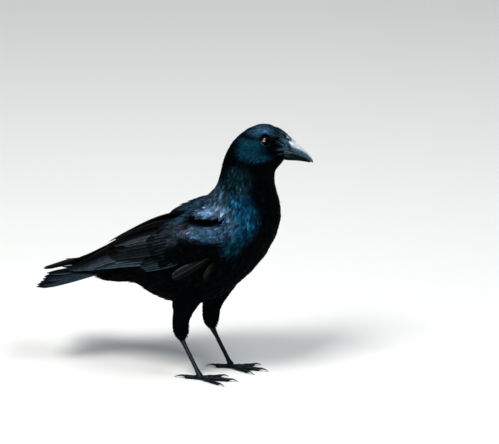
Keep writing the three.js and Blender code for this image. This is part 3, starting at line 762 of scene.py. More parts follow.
def net_weights(places, net_rows=NET_ROWS):
    """How much each point of a net of rows by three moves each place of the sheet."""
    a, b = places[:, 0], places[:, 1]
    cross = np.stack([a * (a - 1) / 2, 1 - a * a, a * (a + 1) / 2], 1)
    t = np.clip(b, 0, 1) * (net_rows - 1)
    i = np.clip(t.astype(int), 0, net_rows - 2)
    f = t - i
    rows = np.zeros((len(places), net_rows))
    kernel = {
        -1: -0.5 * f + f**2 - 0.5 * f**3,
        0: 1 - 2.5 * f**2 + 1.5 * f**3,
        1: 0.5 * f + 2 * f**2 - 1.5 * f**3,
        2: -0.5 * f**2 + 0.5 * f**3,
    }
    for offset, weight in kernel.items():
        np.add.at(rows, (np.arange(len(places)), np.clip(i + offset, 0, net_rows - 1)), weight)
    return rows[:, :, None] * cross[:, None, :], rows


# %% Laying a feather's net on the skin
def settle(point, give):
    """A point brought towards the skin, out of it wholly and down to it by at most give."""
    hit, normal, _, _ = skin_tree.find_nearest(point)
    gap = (point - hit).dot(normal)
    return point - normal * (gap if gap < 0 else min(gap, give)), normal


def lay_net(root, direction, size, half, roll):
    """The net of points under one feather and its normals, in metres."""
    net = np.zeros((NET_ROWS, 3, 3))
    normals = np.zeros((NET_ROWS, 3))
    step = size / (NET_ROWS - 1)
    centre, normal = settle(Vector(root), 1.0)
    heading = Vector(direction)
    for k in range(NET_ROWS):
        heading = (heading - normal * heading.dot(normal) * 0.85).normalized()
        side = normal.cross(heading).normalized()
        net[k, 1] = centre
        for column, reach in ((0, -half), (2, half)):
            net[k, column] = settle(centre + side * reach + normal * (roll * reach), half * 0.45)[0]
        normals[k] = normal
        if k < NET_ROWS - 1:
            centre, normal = settle(centre + heading * step, step * 0.35)
    return net, normals


# %% Meshes from arrays
def copies_of(quads, count, size):
    """The quads of many copies of one sheet, whose points follow one another."""
    return (quads[None] + (np.arange(count) * size)[:, None, None]).reshape(-1, 4)


def patches_at(roots_uv, local):
    """The small patch of each feather on the skin's unwrap, from its own UV."""
    patches = np.repeat(roots_uv, len(local) // len(roots_uv), 0)
    return np.clip(patches + PATCH * (local * [0.5, 1] - [0, 0.5]), 0, 1)


def mesh_of(name, points, quads, material, tints, own, bake):
    """A mesh object from arrays: places in metres, quads, tint, own UV and bake UV for each point."""
    made = bpy.data.meshes.new(name)
    made.vertices.add(len(points))
    made.vertices.foreach_set("co", points.ravel())
    made.loops.add(quads.size)
    made.loops.foreach_set("vertex_index", quads.ravel())
    made.polygons.add(len(quads))
    made.polygons.foreach_set("loop_start", np.arange(0, quads.size, 4))
    made.polygons.foreach_set("use_smooth", np.ones(len(quads), bool))
    for layer, values in (("OFBake", bake), ("vane", own)):
        made.uv_layers.new(name=layer).data.foreach_set("uv", values[quads.ravel()].ravel())
    paint(made, tints)
    made.materials.append(material)
    made.update(calc_edges=True)
    made.validate()
    piece = bpy.data.objects.new(name, made)
    bpy.context.scene.collection.objects.link(piece)
    print(name, "triangles", 2 * len(made.polygons))
    return piece


def sheets(nets, normals, shape, heights, camber, jitter):
    """All points of many open feathers on their nets. heights holds root and tip height of each."""
    places, quads, own = shape
    weights, rows = net_weights(places)
    points = np.einsum("prc,frcx->fpx", weights, nets)
    facing = unit(np.einsum("pr,frx->fpx", rows, normals))
    b, a = places[:, 1], own[:, 0]
    rise = heights[:, :1] + (heights[:, 1:] - heights[:, :1]) * b[None] ** 0.9
    rise = rise + camber[:, None] * (1 - a**2)[None] * np.minimum(1, 3 * b)[None]
    fray = jitter[:, None, None] * rng.normal(size=points.shape) * (b > 0.85)[None, :, None]
    points = points + facing * rise[..., None] + fray
    own_uv = np.tile(own, (len(nets), 1))
    return points.reshape(-1, 3), copies_of(quads, len(nets), len(places)), own_uv


# %% Strewing places for feathers over the skin
CANDIDATES = 240000
corner_points = drawn_in[triangles]
sides = corner_points[:, 1] - corner_points[:, 0], corner_points[:, 2] - corner_points[:, 0]
areas = np.linalg.norm(np.cross(*sides), axis=1)
chances = areas / length[triangles].mean(1) ** 2
picks = rng.choice(len(triangles), CANDIDATES, p=chances / chances.sum())
shares = rng.dirichlet((1, 1, 1), CANDIDATES)


def at_picks(values):
    """The skin's values at the chosen candidates."""
    weights = shares.reshape(CANDIDATES, 3, *[1] * (values.ndim - 1))
    return (values[triangles[picks]] * weights).sum(1)


seeds = at_picks(drawn_in)
seed_length = at_picks(length)
seed_tract = tract[triangles[picks, 0]]
seed_uv = uv[corners[picks]].mean(1)
tree = KDTree(CANDIDATES)
for index, seed in enumerate(seeds):
    tree.insert(seed, index)
tree.balance()
print("places to choose from:", CANDIDATES)

# %% Where the coat stays bare
EYE_CLEAR = 5.5
GAP_CLEAR = (-11, 6.5)  # feathers over the gap hang into it, those below start clear of its edge
THIGH_FOOT = 54
RUMP_END = -107
x, y, z = seeds[:, 0], np.abs(seeds[:, 1]), seeds[:, 2]
above_eye = z - EYE[2] + 0.4
from_pupil = np.hypot(x - EYE[0], above_eye / np.where(above_eye > 0, 0.95, 1.12))
below_gap = off_gap(seeds)
# The tail and the folded flight feathers lie on the body, and the larger coverts are laid one by one later.
over_tail = z - (TAIL_ROOT[1] + (x - TAIL_ROOT[0]) * math.tan(math.radians(TAIL_SLOPE)))
seed_angle = wing_angle(seeds)
wing_gap = np.hypot(*off_wing_axis(seeds)) - curve_through(WING_SECTIONS, 3, x)
under_wing = (x < -24) & (x > -126) & (seed_angle > 14) & (seed_angle < 84) & (y > 7)
under_wing &= (wing_gap < 1) & (wing_gap > -14)
bare_places = [
    (from_pupil < EYE_CLEAR) & (y > 6),
    np.isin(seed_tract, (GAP, NASAL)),
    (below_gap > GAP_CLEAR[0]) & (below_gap < GAP_CLEAR[1]),
    (x < -84) & (over_tail > -7) & (over_tail < 4),
    x < RUMP_END,
    (seed_tract == THIGH) & (z < THIGH_FOOT),
    (seed_tract == WING) & (x < -30 + 0.22 * np.clip(seed_angle - 30, 0, 60)),
    under_wing & ~np.isin(seed_tract, (SCAPULAR, WING)),
]
free = ~np.any(bare_places, axis=0)
print("left to choose from:", free.sum())

# %% Thinning them out, the longer the feathers the wider apart
SPACING = 0.19  # of a feather's length
roots = []
for index in range(CANDIDATES):
    if free[index]:
        roots.append(index)
        for _, other, _ in tree.find_range(seeds[index], SPACING * seed_length[index]):
            free[other] = False
roots = np.array(roots)
print("contour feathers:", len(roots))

# %% Growing the contour feathers
# How wide a feather is against its length, how far it stands off, and how uneven its shade is.
HABITS = {
    HEAD: (0.34, 0.3, 0.25),
    NECK: (0.3, 0.5, 0.55),
    BODY: (0.36, 0.5, 0.55),
    RUMP: (0.4, 0.2, 0.2),
    THIGH: (0.4, 0.5, 0.3),
    WING: (0.4, 0.4, 0.4),
    SCAPULAR: (0.36, 1.0, 0.4),
}
HUE_UNEVEN = np.array([0.12, 0.05, 0.08])
amount = len(roots)
seeds, root_tract = seeds[roots], seed_tract[roots]
wide, standing, uneven = np.array([HABITS[t] for t in root_tract]).T
root_lie = unit(at_picks(lie)[roots] + rng.normal(0, 0.11, (amount, 3)))
root_length = seed_length[roots] * rng.uniform(0.88, 1.15, amount)
half_width = root_length * wide / 2
roll = rng.normal(0, 0.08, amount)
laid = [lay_net(*of_one) for of_one in zip(metres(seeds), root_lie, root_length * MM, half_width * MM, roll)]
all_nets, all_normals = (np.array(part) for part in zip(*laid))
tip_height = np.minimum(at_picks(depth)[roots], 2.7) * 0.85 + standing * rng.uniform(-0.3, 1, amount)
# The nape is fluffed where it meets the back, and the feathered shank's foot is full too.
tip_height += 3.4 * np.exp(-((np.linalg.norm(seeds - [14, 0, 238], axis=1) / 17) ** 2))
tip_height += 2.6 * (root_tract == THIGH) * np.exp(-(((seeds[:, 2] - 68) / 14) ** 2))
heights = np.stack([np.full(amount, 0.15), tip_height], 1) * MM
# What shows of a feather is its end, so its tint is the one under its end.
root_tint = tint_at(all_nets[:, 3, 1] / MM - SHIFT)
root_tint[:, :3] *= np.exp(rng.normal(0, 1, (amount, 1)) * uneven[:, None])
root_tint[:, :3] *= np.exp(rng.normal(0, 1, (amount, 3)) * HUE_UNEVEN)
root_tint[:, 3] *= rng.uniform(0.85, 1.15, amount)
print("nets laid:", len(all_nets))

# %% The coat's pieces
# Each shape of feather and the lengths it is for.
SHAPES = [
    (feather_shape(4, 3, 0.3, 0.1), 0, 7),
    (feather_shape(5, 5, 0.4, 0.2), 7, 14),
    (feather_shape(6, 5, 0.4, 0.22), 14, 99),
]
on_right = seeds[:, 1] < 0
of_body, of_wing = np.isin(root_tract, (BODY, RUMP)), root_tract == WING
COAT_PIECES = {
    "coat_head": root_tract == HEAD,
    "coat_neck": root_tract == NECK,
    "coat_body_right": of_body & on_right,
    "coat_body_left": of_body & ~on_right,
    "coat_scapulars": root_tract == SCAPULAR,
    "coat_wing_right": of_wing & on_right,
    "coat_wing_left": of_wing & ~on_right,
    "coat_thighs": root_tract == THIGH,
}
coat = []
for name, chosen in COAT_PIECES.items():
    parts, start = [], 0
    for shape, shortest, longest in SHAPES:
        own = chosen & (root_length >= shortest) & (root_length < longest)
        if not own.any():
            continue
        bow, fray = half_width[own] * 0.1 * MM, root_length[own] * 0.010 * MM
        points, quads, local = sheets(all_nets[own], all_normals[own], shape, heights[own], bow, fray)
        tints = np.repeat(root_tint[own], len(shape[0]), 0)
        # Each feather darkens towards its root: painted shade where the feathers over it lie.
        tints[:, :3] *= 0.15 + 0.45 * ease(0.1, 0.5, local[:, 1]) + 0.6 * ease(0.5, 1.0, local[:, 1])
        parts.append([points, quads + start, tints, local, patches_at(seed_uv[roots][own], local)])
        start += len(points)
    points, quads, *layers = (np.concatenate(arrays) for arrays in zip(*parts))
    coat.append(mesh_of(name, points, quads, contour_look, *layers))

# %% [markdown]
# ## Flight feathers
# The long feathers of wing and tail are stiff blades: a shaft that stands proud of the vane, a wide
# inner and a narrow outer web, and a rounded end. Each is a closed thin sheet, so it has an upper and an
# under side like the real one. Inner feathers lie over outer ones, and the folded wing shows a step at
# each edge.

# %% Flight feather shapes
BLADE_ROWS = 22
BLADE_COLUMNS = np.array([-1, -0.72, -0.42, -0.16, 0, 0.16, 0.42, 0.72, 1])
VANE_THICKNESS = 0.5
BLADE_NET_ROWS = 9


def blade_shape(outline):
    """A flight feather's closed sheet. outline gives how wide it is along its length."""
    along = 1 - (1 - np.linspace(0, 1, BLADE_ROWS)) ** 1.5
    b, a = np.meshgrid(along, BLADE_COLUMNS, indexing="ij")
    width = np.interp(b, *outline)
    places = np.stack([a * width, b * (1 - 0.03 * (a**2) * b**6)], -1).reshape(-1, 2)
    size = a.size
    top = grid_quads(*a.shape)
    grid = np.arange(size).reshape(a.shape)
    rim = np.concatenate([grid[0, :], grid[1:, -1], grid[-1, -2::-1], grid[-2:0:-1, 0]])
    after = np.roll(rim, -1)
    edge = np.stack([rim, after, after + size, rim + size], 1)
    quads = np.concatenate([top, top[:, ::-1] + size, edge])
    return places, quads, np.stack([a.ravel(), b.ravel()], 1)


BLADE = blade_shape(([0, 0.25, 0.6, 0.9, 0.965, 1], [0.4, 0.8, 1, 0.94, 0.74, 0.34]))
POINTED_BLADE = blade_shape(([0, 0.25, 0.6, 0.8, 0.92, 1], [0.4, 0.8, 1, 0.9, 0.62, 0.12]))


# %% Blades from nets
def skin_uv_near(points):
    """The skin's own unwrap at the places nearest to points of the crow's frame."""
    found = []
    for point in metres(points):
        face = skin_tree.find_nearest(Vector(point))[2]
        found.append(uv[list(mesh.polygons[face].loop_indices)].mean(0))
    return np.array(found)


def uneven_tints(shades, count, low, high):
    """A tint for each of count feathers, lighter or darker by chance, with its roughness."""
    shades = shades * rng.uniform(low, high, (count, 1))
    return np.concatenate([shades, rng.uniform(0.38, 0.5, (count, 1))], 1)


def blades(
    name, nets, tints, root_row, outward, thickness=VANE_THICKNESS, camber=0.7, edge=0.8, shape=BLADE
):
    """Closed flight feathers on nets of rows by three, in the crow's frame. outward points off the body."""
    places, quads, own = shape
    weights, rows = net_weights(places, BLADE_NET_ROWS)
    points = np.einsum("prc,frcx->fpx", weights, nets)
    normals = unit(np.cross(nets[:, :, 2] - nets[:, :, 0], np.gradient(nets[:, :, 1], axis=1)))
    flip = np.sign((normals * outward).sum(-1, keepdims=True))
    facing = unit(np.einsum("pr,frx->fpx", rows, normals * flip))
    a, b = own[:, 0], own[:, 1]
    body = thickness * np.sqrt(np.maximum(0.06, 1 - a**2)) * np.where(b > 0.97, 0.6, 1)
    shaft = 0.35 * np.exp(-((a / 0.1) ** 2)) * (1 - b) ** 0.5
    middle = camber * (1 - a**2) + rng.normal(0, 0.25, (len(nets), 1)) * b[None] ** 4
    top = points + facing * (middle + body / 2 + shaft)[..., None]
    under = points + facing * (middle - body / 2 - shaft * 0.4)[..., None]
    both = np.concatenate([top, under], 1)
    count, size = both.shape[:2]
    all_quads = copies_of(quads, count, size)
    wrong = np.repeat(flip[:, 0, 0] < 0, len(quads))
    all_quads[wrong] = all_quads[wrong][:, ::-1]
    local = np.tile(own, (2 * count, 1))
    # The covered inner web is darker, painted shade under the next feather, and the outer web paler. A pale
    # line down the shaft is a painted highlight, and the rim is worn.
    web = 0.08 + 0.12 * ease(-0.3, 0.4, local[:, 0]) + 0.9 * ease(0.62, 0.92, local[:, 0])
    web += 0.5 * np.exp(-((local[:, :1] / 0.1) ** 2))
    worn = np.maximum(ease(0.65, 1.0, local[:, 0]), ease(0.93, 1.0, local[:, 1]))
    streak = 1 + 0.25 * np.sin(9 * local[:, :1] + 3 * local[:, 1:])
    tints = np.repeat(tints, size, 0)
    tints[:, :3] *= web * streak * (1 + edge * worn)
    bake = patches_at(skin_uv_near(nets[:, root_row, 1]), local)
    return mesh_of(name, metres(both.reshape(-1, 3)), all_quads, flight_look, tints, local, bake)


# %% Rows of the folded wing
S_NET = np.linspace(0, 1, BLADE_NET_ROWS)
# The rows of a folded wing: where they start, the angles from straight up at roots and tips, the height
# over the wing's carrying surface at the upper and lower edge, how much lower the tips lie, how far each
# feather dips under the next one like a shingle, and how deep its root is buried in the coat. Each feather
# has its end in x and how far down the row its visible edge lies.
WING_ROWS = {
    "secondaries": {
        "root_x": 2, "roots": (10, 84), "ends": (4, 70), "lift": (4.6, 1.2), "sink": 2.0, "width": 21,
        "dip": 2.4, "buried": 9,
        "tips": [-106, -117, -108, -98, -93, -103, -113, -111, -108, -104],
        "edges": [0.28, 0.40, 0.50, 0.58, 0.65, 0.72, 0.79, 0.86, 0.93, 1.0],
    },
    "primaries": {
        "root_x": -20, "roots": (40, 93), "ends": (8, 79), "lift": (-0.8, -3.6), "sink": 0, "width": 19,
        "dip": 1.8,
        "tips": [-161, -173, -169, -162, -153, -144, -134, -122],
        "edges": [0.26, 0.40, 0.50, 0.60, 0.70, 0.80, 0.90, 1.0],
    },
    "primary_coverts": {
        "root_x": -16, "roots": (66, 93), "ends": (76, 97), "lift": (1.8, 0.2), "sink": 0.6, "width": 8,
        "dip": 1.0,
        "tips": [-54, -62, -60, -66, -63, -60],
        "edges": [0.2, 0.36, 0.52, 0.68, 0.84, 1.0],
    },
    "greater_coverts": {
        "root_x": -18, "roots": (34, 86), "ends": (34, 92), "lift": (5.4, 4.0), "sink": 0.8, "width": 11,
        "dip": 1.4, "buried": 8,
        "tips": [-45, -56, -50, -60, -52, -57, -48, -53, -45, -48, -38, -41],
        "edges": [0.08, 0.17, 0.25, 0.34, 0.42, 0.50, 0.58, 0.67, 0.75, 0.83, 0.92, 1.0],
    },
}  # fmt: skip
LEFT_WING_RAISE = 5
# Flight feathers are brown-black and worn, the coverts over them take the sheen of the coat.
# The tints of each row from its uppermost feather down, and how much paler its worn rims are. The upper ones
# of the secondaries are painted dark, as shade, in a band along the back, the next are bleached. The greater
# coverts darken downwards: painted light above, painted shade on the folded wing's lower side.
FLIGHT_TINTS = {
    "secondaries": (
        [
            (0.003, 0.003, 0.004), (0.005, 0.004, 0.005), (0.046, 0.060, 0.076), (0.044, 0.044, 0.046),
            (0.020, 0.030, 0.034), (0.008, 0.013, 0.014), (0.010, 0.012, 0.012), (0.007, 0.012, 0.014),
            (0.012, 0.013, 0.014), (0.006, 0.010, 0.012),
        ],
        0.8,
    ),
    "primaries": (
        [(0.004, 0.003, 0.004), (0.026, 0.036, 0.046), (0.050, 0.066, 0.082), (0.032, 0.050, 0.066)],
        1.0,
    ),
    "primary_coverts": ([(0.012, 0.024, 0.030), (0.026, 0.044, 0.054)], 1.0),
    "greater_coverts": (
        [(0.030, 0.042, 0.054), (0.014, 0.020, 0.024), (0.005, 0.008, 0.010), (0.003, 0.004, 0.005)],
        0.5,
    ),
}  # fmt: skip
# The left wing is painted darker than the right as shade, since it faces away from the light.
FAR_WING_PAINTED_SHADE = 0.35  # how dark the left wing is against the right one
COVERT_THICKNESS = 0.3
print("feathers in a wing:", sum(len(row["tips"]) for row in WING_ROWS.values()))

# %% Wing feathers
def wing_nets(row, side, tip_raise):
    """Nets of one row: each feather ends at its own place and hides its inner web under the next."""
    nets = []
    high, low = row["lift"]
    # A raised wing tip lies over the other one, across the middle of the back.
    inner_limit = 1.5 - 24 * (tip_raise > 0) * ease(0.45, 0.9, S_NET)[:, 0]
    for i, (tip, edge) in enumerate(zip(row["tips"], row["edges"])):
        x = row["root_x"] + (tip - row["root_x"]) * S_NET
        start, end = (first + (last - first) * edge for first, last in (row["roots"], row["ends"]))
        outer = start + (end - start) * S_NET
        radius = curve_through(WING_SECTIONS, 3, x)
        lift = high + (low - high) * i / (len(row["tips"]) - 1) - row["sink"] * S_NET**2
        lift = lift - row.get("buried", 0) * (1 - S_NET) ** 3
        columns = []
        for share in (1.0, 0.5, 0.0):
            angle = outer - np.degrees(share * row["width"] * (0.75 + 0.25 * S_NET) / radius)
            point = on_wing(x, np.maximum(angle, inner_limit), lift - share * row["dip"], side)
            point[:, 2] += tip_raise * S_NET**5
            columns.append(point)
        nets.append(np.stack(columns, 1))
    return np.array(nets)


flight = []
for side_name, sign, tip_raise in (("right", -1, 0), ("left", 1, LEFT_WING_RAISE)):
    for row_name, row in WING_ROWS.items():
        long_row = row_name in ("secondaries", "primaries")
        nets = wing_nets(row, sign, tip_raise if row_name == "primaries" else 0)
        nets += rng.normal(0, 0.2, (len(nets), 1, 1, 3)) * S_NET[:, None, None]
        tones, worn = FLIGHT_TINTS[row_name]
        down = np.linspace(0, len(tones) - 1, len(nets))
        shades = np.stack([np.interp(down, np.arange(len(tones)), part) for part in zip(*tones)], 1)
        # The left wing's tints are darkened as painted shade.
        tints = uneven_tints(shades * (1 if sign < 0 else FAR_WING_PAINTED_SHADE), len(nets), 0.75, 1.3)
        outward = np.array([0, sign * 0.8, 0.6])
        thin = VANE_THICKNESS if long_row else COVERT_THICKNESS
        shape = POINTED_BLADE if row_name == "primaries" else BLADE
        piece = blades(f"wing_{side_name}_{row_name}_vanes", nets, tints, 3, outward, thin, 0.3, worn, shape)
        if long_row:
            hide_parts(f"wing_{side_name}_{row_name}")
        flight.append(piece)

# %% Tail feathers
RECTRIX_WIDTH = 22
RECTRIX_EDGES = [0.52, 0.64, 0.74, 0.83, 0.92, 1.0]
RECTRIX_STEP = 0.55
# How much shorter than the longest each feather is, from the middle outwards.
RECTRIX_SHORT = {"right": [13, 10, 8, 5, 1, 0], "left": [3, 0, 2, 0, 4, 8]}
LEFT_TAIL_BOW = 4.5
TAIL_ROOF = {"right": 12, "left": -1.5}

# The right half is bluer and paler, partly its own sheen and partly a painted highlight where light falls;
# the left half is darker, its own brown-red with painted shade.
TAIL_TINTS = {"right": (0.009, 0.017, 0.023), "left": (0.010, 0.0075, 0.009)}
TAIL_OUTWARD = np.array([0.3, 0, 0.95])


def tail_nets(side_name, side):
    """Six tail feathers of one side, the middle one on top."""
    left = side > 0
    slope = math.radians(TAIL_SLOPE - (TAIL_LEFT_LIFT if left else 0))
    nets = []
    for i, (edge, short) in enumerate(zip(RECTRIX_EDGES, RECTRIX_SHORT[side_name])):
        columns = []
        far = 6 + (TAIL_LENGTH - short - 6) * S_NET
        turn = math.radians(TAIL_FAN * edge + (TAIL_LEFT_TURN if left else 0))
        # The two halves part only near the tip: before that the left one reaches over the right.
        parted = far / TAIL_LENGTH
        swung = far * math.sin(math.radians(TAIL_LEFT_TURN)) * ease(0.72, 0.95, parted)[:, 0]
        inner_limit = 0.4 + (swung - 7 * (1 - ease(0.62, 0.8, parted)[:, 0]) if left else 0)
        for share in (1.0, 0.5, 0.0):
            across = 0.2 + TAIL_SPREAD * edge + far * math.sin(turn)
            across = across - share * RECTRIX_WIDTH * (0.55 + 0.45 * S_NET)
            across = np.maximum(across, inner_limit + 0.02 * (1 - share))
            outwards = np.clip(across / (TAIL_SPREAD + far * math.sin(math.radians(TAIL_FAN))), 0, 1)
            up = -RECTRIX_STEP * i - 0.9 - TAIL_ARCH * edge**2 - share * 0.5
            up = up + TAIL_ROOF[side_name] * (1 - outwards) * far / TAIL_LENGTH
            if left:
                up = up + LEFT_TAIL_BOW * (ease(0.3, 0.6, parted) * (1 - ease(0.72, 1.0, parted)))[:, 0]
            back_x = far * math.cos(turn)
            x = TAIL_ROOT[0] - back_x * math.cos(slope) - up * math.sin(slope)
            z = TAIL_ROOT[1] - back_x * math.sin(slope) + up * math.cos(slope)
            columns.append(np.stack([x, side * across, z], 1))
        nets.append(np.stack(columns, 1))
    return np.array(nets)


for side_name, sign in (("right", -1), ("left", 1)):
    nets = tail_nets(side_name, sign)
    tints = uneven_tints(np.array(TAIL_TINTS[side_name]), len(nets), 0.7, 1.2)
    name = f"tail_{side_name}_vanes"
    piece = blades(name, nets, tints, 1, TAIL_OUTWARD, edge=1.6, shape=POINTED_BLADE)
    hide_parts(f"tail_feathers_{side_name}")
    flight.append(piece)

# %% Loose feathers of the moult
# A covert that hangs from the right wing's lower edge, and the brown end of one beside it: where each
# starts and ends, its full width and its tint.
LOOSE_FEATHERS = {
    "hanging": ((28, -50, 177), (-23.5, -50, 142), 13, (0.042, 0.042, 0.046)),
    "brown": ((30, -46, 170), (16, -47.5, 143), 7, (0.034, 0.036, 0.020)),
}
nets, tints = [], []
for root, tip, width, shade in LOOSE_FEATHERS.values():
    root, tip = np.array(root, float), np.array(tip, float)
    middle = root + (tip - root) * S_NET[:, None] + np.outer(np.sin(np.pi * S_NET) * 2.2, [0, -1, 0])
    across = unit(np.cross(tip - root, [0, -1, 0]))
    half = width / 2 * np.interp(S_NET, [0, 0.3, 0.75, 1], [0.5, 0.9, 1.05, 0.95])[:, None]
    nets.append(np.stack([middle - across * half, middle + [0, -0.6, 0], middle + across * half], 1))
    tints.append([*shade, 0.5])
flight.append(blades("loose_feathers", np.array(nets), tints, 1, np.array([0, -1, 0]), COVERT_THICKNESS))

# %% [markdown]
# ## Bill
# A crow's bill is two horn sheaths. The upper one is ridged along its top, curves down to a slight hook
# and laps over the lower one at the cutting edge. Each is a ring of points extruded station by station
# and scaled to the height and width there, then smoothed by subdivision.

# %% Measures of the bill
UPPER_BILL = np.array(
    [
        [91, 305, 301.6, 12.2], [98, 311.6, 301.4, 11.4], [106, 314.9, 300.6, 9.8], [113, 312, 299.2, 8.2],
        [121, 307.2, 296.8, 6.5], [128, 302.7, 294.2, 4.9], [134, 297.6, 291.1, 3.3],
        [138, 293, 287.6, 2.1], [140.6, 288.6, 285.2, 1.0],
    ]
)  # fmt: skip
LOWER_BILL = np.array(
    [
        [92, 301.2, 294, 11.8], [99, 301, 289, 10.6], [107, 300.1, 286.6, 8.8], [114, 298.6, 286.6, 7.2],
        [121, 296.4, 286.8, 5.6], [128, 293.8, 286.4, 4.0], [134, 290.6, 285.8, 2.5],
        [137.6, 287.3, 285.4, 1.2],
    ]
)  # fmt: skip
BILL_STATIONS = 14
BILL_RING = 20

print("bill, mm:", [round(table[-1, 0] - table[0, 0], 1) for table in (UPPER_BILL, LOWER_BILL)])

# %% Tubes from rings
def extrude_rings(name, first_ring, count):
    """A ring of edges made into a tube of count rings, by extruding in edit mode."""
    bpy.ops.object.select_all(action="DESELECT")
    bpy.ops.mesh.primitive_circle_add(vertices=first_ring, radius=MM, fill_type="NGON")
    made = bpy.context.object
    made.name = made.data.name = name
    bpy.ops.object.mode_set(mode="EDIT")
    bpy.ops.mesh.select_all(action="SELECT")
    for _ in range(count - 1):
        bpy.ops.mesh.extrude_region_move(TRANSFORM_OT_translate={"value": (0, 0, MM)})
    bpy.ops.object.mode_set(mode="OBJECT")
    return made


def smooth_shell(shell, levels, material):
    """Turns a shell's faces outwards, smooths it by subdivision and gives it its one material."""
    only(shell)
    edit_all(bpy.ops.mesh.normals_make_consistent, inside=False)
    modify(shell, "SUBSURF", levels=levels, render_levels=levels)
    bpy.ops.object.shade_smooth()
    shell.data.materials.clear()
    shell.data.materials.append(material)
    return shell


def counted_anew(face):
    """A face's points from its lowest number on, towards the lower one of its two neighbours."""
    start = face.index(min(face))
    face = face[start:] + face[:start]
    return face if face[1] < face[-1] else face[:1] + face[:0:-1]


def tube_of(name, rings, material, levels=2):
    """A closed tube through rings of points in the crow's frame, smoothed by subdivision."""
    count, around = np.shape(rings)[:2]
    made = extrude_rings(name, around, count)
    x, y, z = read(made.data.vertices, "co", 3).T
    order = np.argsort(np.round(z / MM).astype(int), kind="stable")
    spin = np.arctan2(y, x)
    # Extruding leaves points and faces in no fixed order, so they are counted anew, ring by ring.
    number = np.zeros(len(order), int)
    for k in range(count):
        level = order[k * around : (k + 1) * around]
        number[level[np.argsort(spin[level])]] = k * around + np.arange(around)
    faces = sorted(counted_anew(number[list(face.vertices)].tolist()) for face in made.data.polygons)
    made.data.clear_geometry()
    made.data.from_pydata(metres(np.concatenate(rings)).tolist(), [], faces)
    made.data.update()
    return smooth_shell(made, levels, material)


def points_of(piece):
    """A piece's points in the crow's frame, in millimetres."""
    return read(piece.data.vertices, "co", 3) / MM - SHIFT


# %% Rings of the bill
def bill_rings(table, upper):
    """Rings of one half: a ridge, full sides, and for the upper half a raised cutting edge."""
    rings = []
    low, high = table[0, 0], table[-1, 0]
    turn = 2 * np.pi * np.arange(BILL_RING) / BILL_RING - np.pi
    rise = np.abs(np.sin(turn)) ** (0.85 if upper else 0.8)
    ridge_side = np.sin(turn) > 0
    if upper:
        bead = 0.07 * np.exp(-(((rise - 0.12) / 0.16) ** 2))
    else:
        bead = -0.10 * np.exp(-((rise / 0.25) ** 2))
    for x in low + (high - low) * np.linspace(0, 1, BILL_STATIONS) ** 0.92:
        top, bottom, half = (float(curve_through(table, k, np.array(x))) for k in (1, 2, 3))
        flat, ridge = (bottom, top) if upper else (top, bottom)
        z = np.where(ridge_side, flat + (ridge - flat) * rise, flat - np.sign(ridge - flat) * 0.5 * rise)
        y = half * np.cos(turn) * (1 - 0.16 * rise * ridge_side + bead)
        rings.append(np.stack([np.full(BILL_RING, x), y, z], 1))
    return rings


# %% The horn's marks
# The pale ridge and cutting edge are painted highlights and the dark groove painted shade; side and lower
# are the horn's own tones.
HORN_TINTS = {
    "ridge": (0.370, 0.430, 0.480),
    "side": (0.020, 0.062, 0.084),
    "painted_groove_shade": (0.001, 0.004, 0.006),
    "edge": (0.050, 0.110, 0.130),
    "lower": (0.0005, 0.006, 0.0065),
}


def mark_horn(piece, table, upper):
    """Horn tints: a painted highlight on ridge and gape's cutting edge, painted shade in the groove, darker
    sides.
    """
    points = points_of(piece)
    x = points[:, 0]
    top, bottom = (curve_through(table, k, x) for k in (1, 2))
    rise = np.clip((points[:, 2] - bottom) / (top - bottom), -0.2, 1)
    tone = {name: np.array(value) for name, value in HORN_TINTS.items()}
    if upper:
        rearwards = 1 - ease(108, 122, x)
        near_gape = (1 - ease(0.06, 0.12, rise)) * ease(-0.02, 0.02, rise)
        narrower = 0.16 * ease(110, 132, x)[:, 0]
        # The side darkens down towards the cutting edge as painted shade, and the pale ridge is a painted
        # highlight.
        colour = blend(tone["painted_groove_shade"], tone["side"], ease(0.06, 0.40, rise))
        colour = blend(colour, tone["ridge"], ease(0.0, 0.38, rise - 0.42 - narrower))
        # Near the gape: a dark groove of painted shade and a pale cutting edge of painted highlight.
        colour = blend(colour, tone["painted_groove_shade"], rearwards * (1 - ease(0.06, 0.12, np.abs(rise - 0.18))))
        colour = blend(colour, tone["edge"], rearwards * near_gape)
    else:
        rearwards = 1 - ease(106, 122, x)
        # A pale band near the gape is a painted highlight.
        band = 1 - ease(0.06, 0.16, np.abs(rise - 0.64))
        colour = blend(tone["lower"] + 0 * rise[:, None], 0.35 * tone["edge"], rearwards * band)
    paint(piece.data, np.insert(colour, 3, 1, axis=1))


# %% Bill halves
hard_parts = []
for half_name, table, look in (
    ("bill_upper", UPPER_BILL, upper_bill_look),
    ("bill_lower", LOWER_BILL, lower_bill_look),
):
    upper = half_name == "bill_upper"
    piece = tube_of(f"{half_name}_horn", bill_rings(table, upper), look)
    mark_horn(piece, table, upper)
    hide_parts(half_name)
    hard_parts.append(piece)
    print(piece.name, "faces", len(piece.data.polygons))

# %% [markdown]
# ## Nasal bristles
# Stiff, hair-thin feathers lie forward over the bill's base and hide the nostrils. They rest on the horn, so
# they are laid once the bill is there: each steps forward and is pushed out of skin and horn alike.

# %% Laying the bristles over the bill's base
bpy.context.view_layer.update()
horn_trees = [surface_of(part) for part in hard_parts]
COAT_OVER_SKIN = 1.1
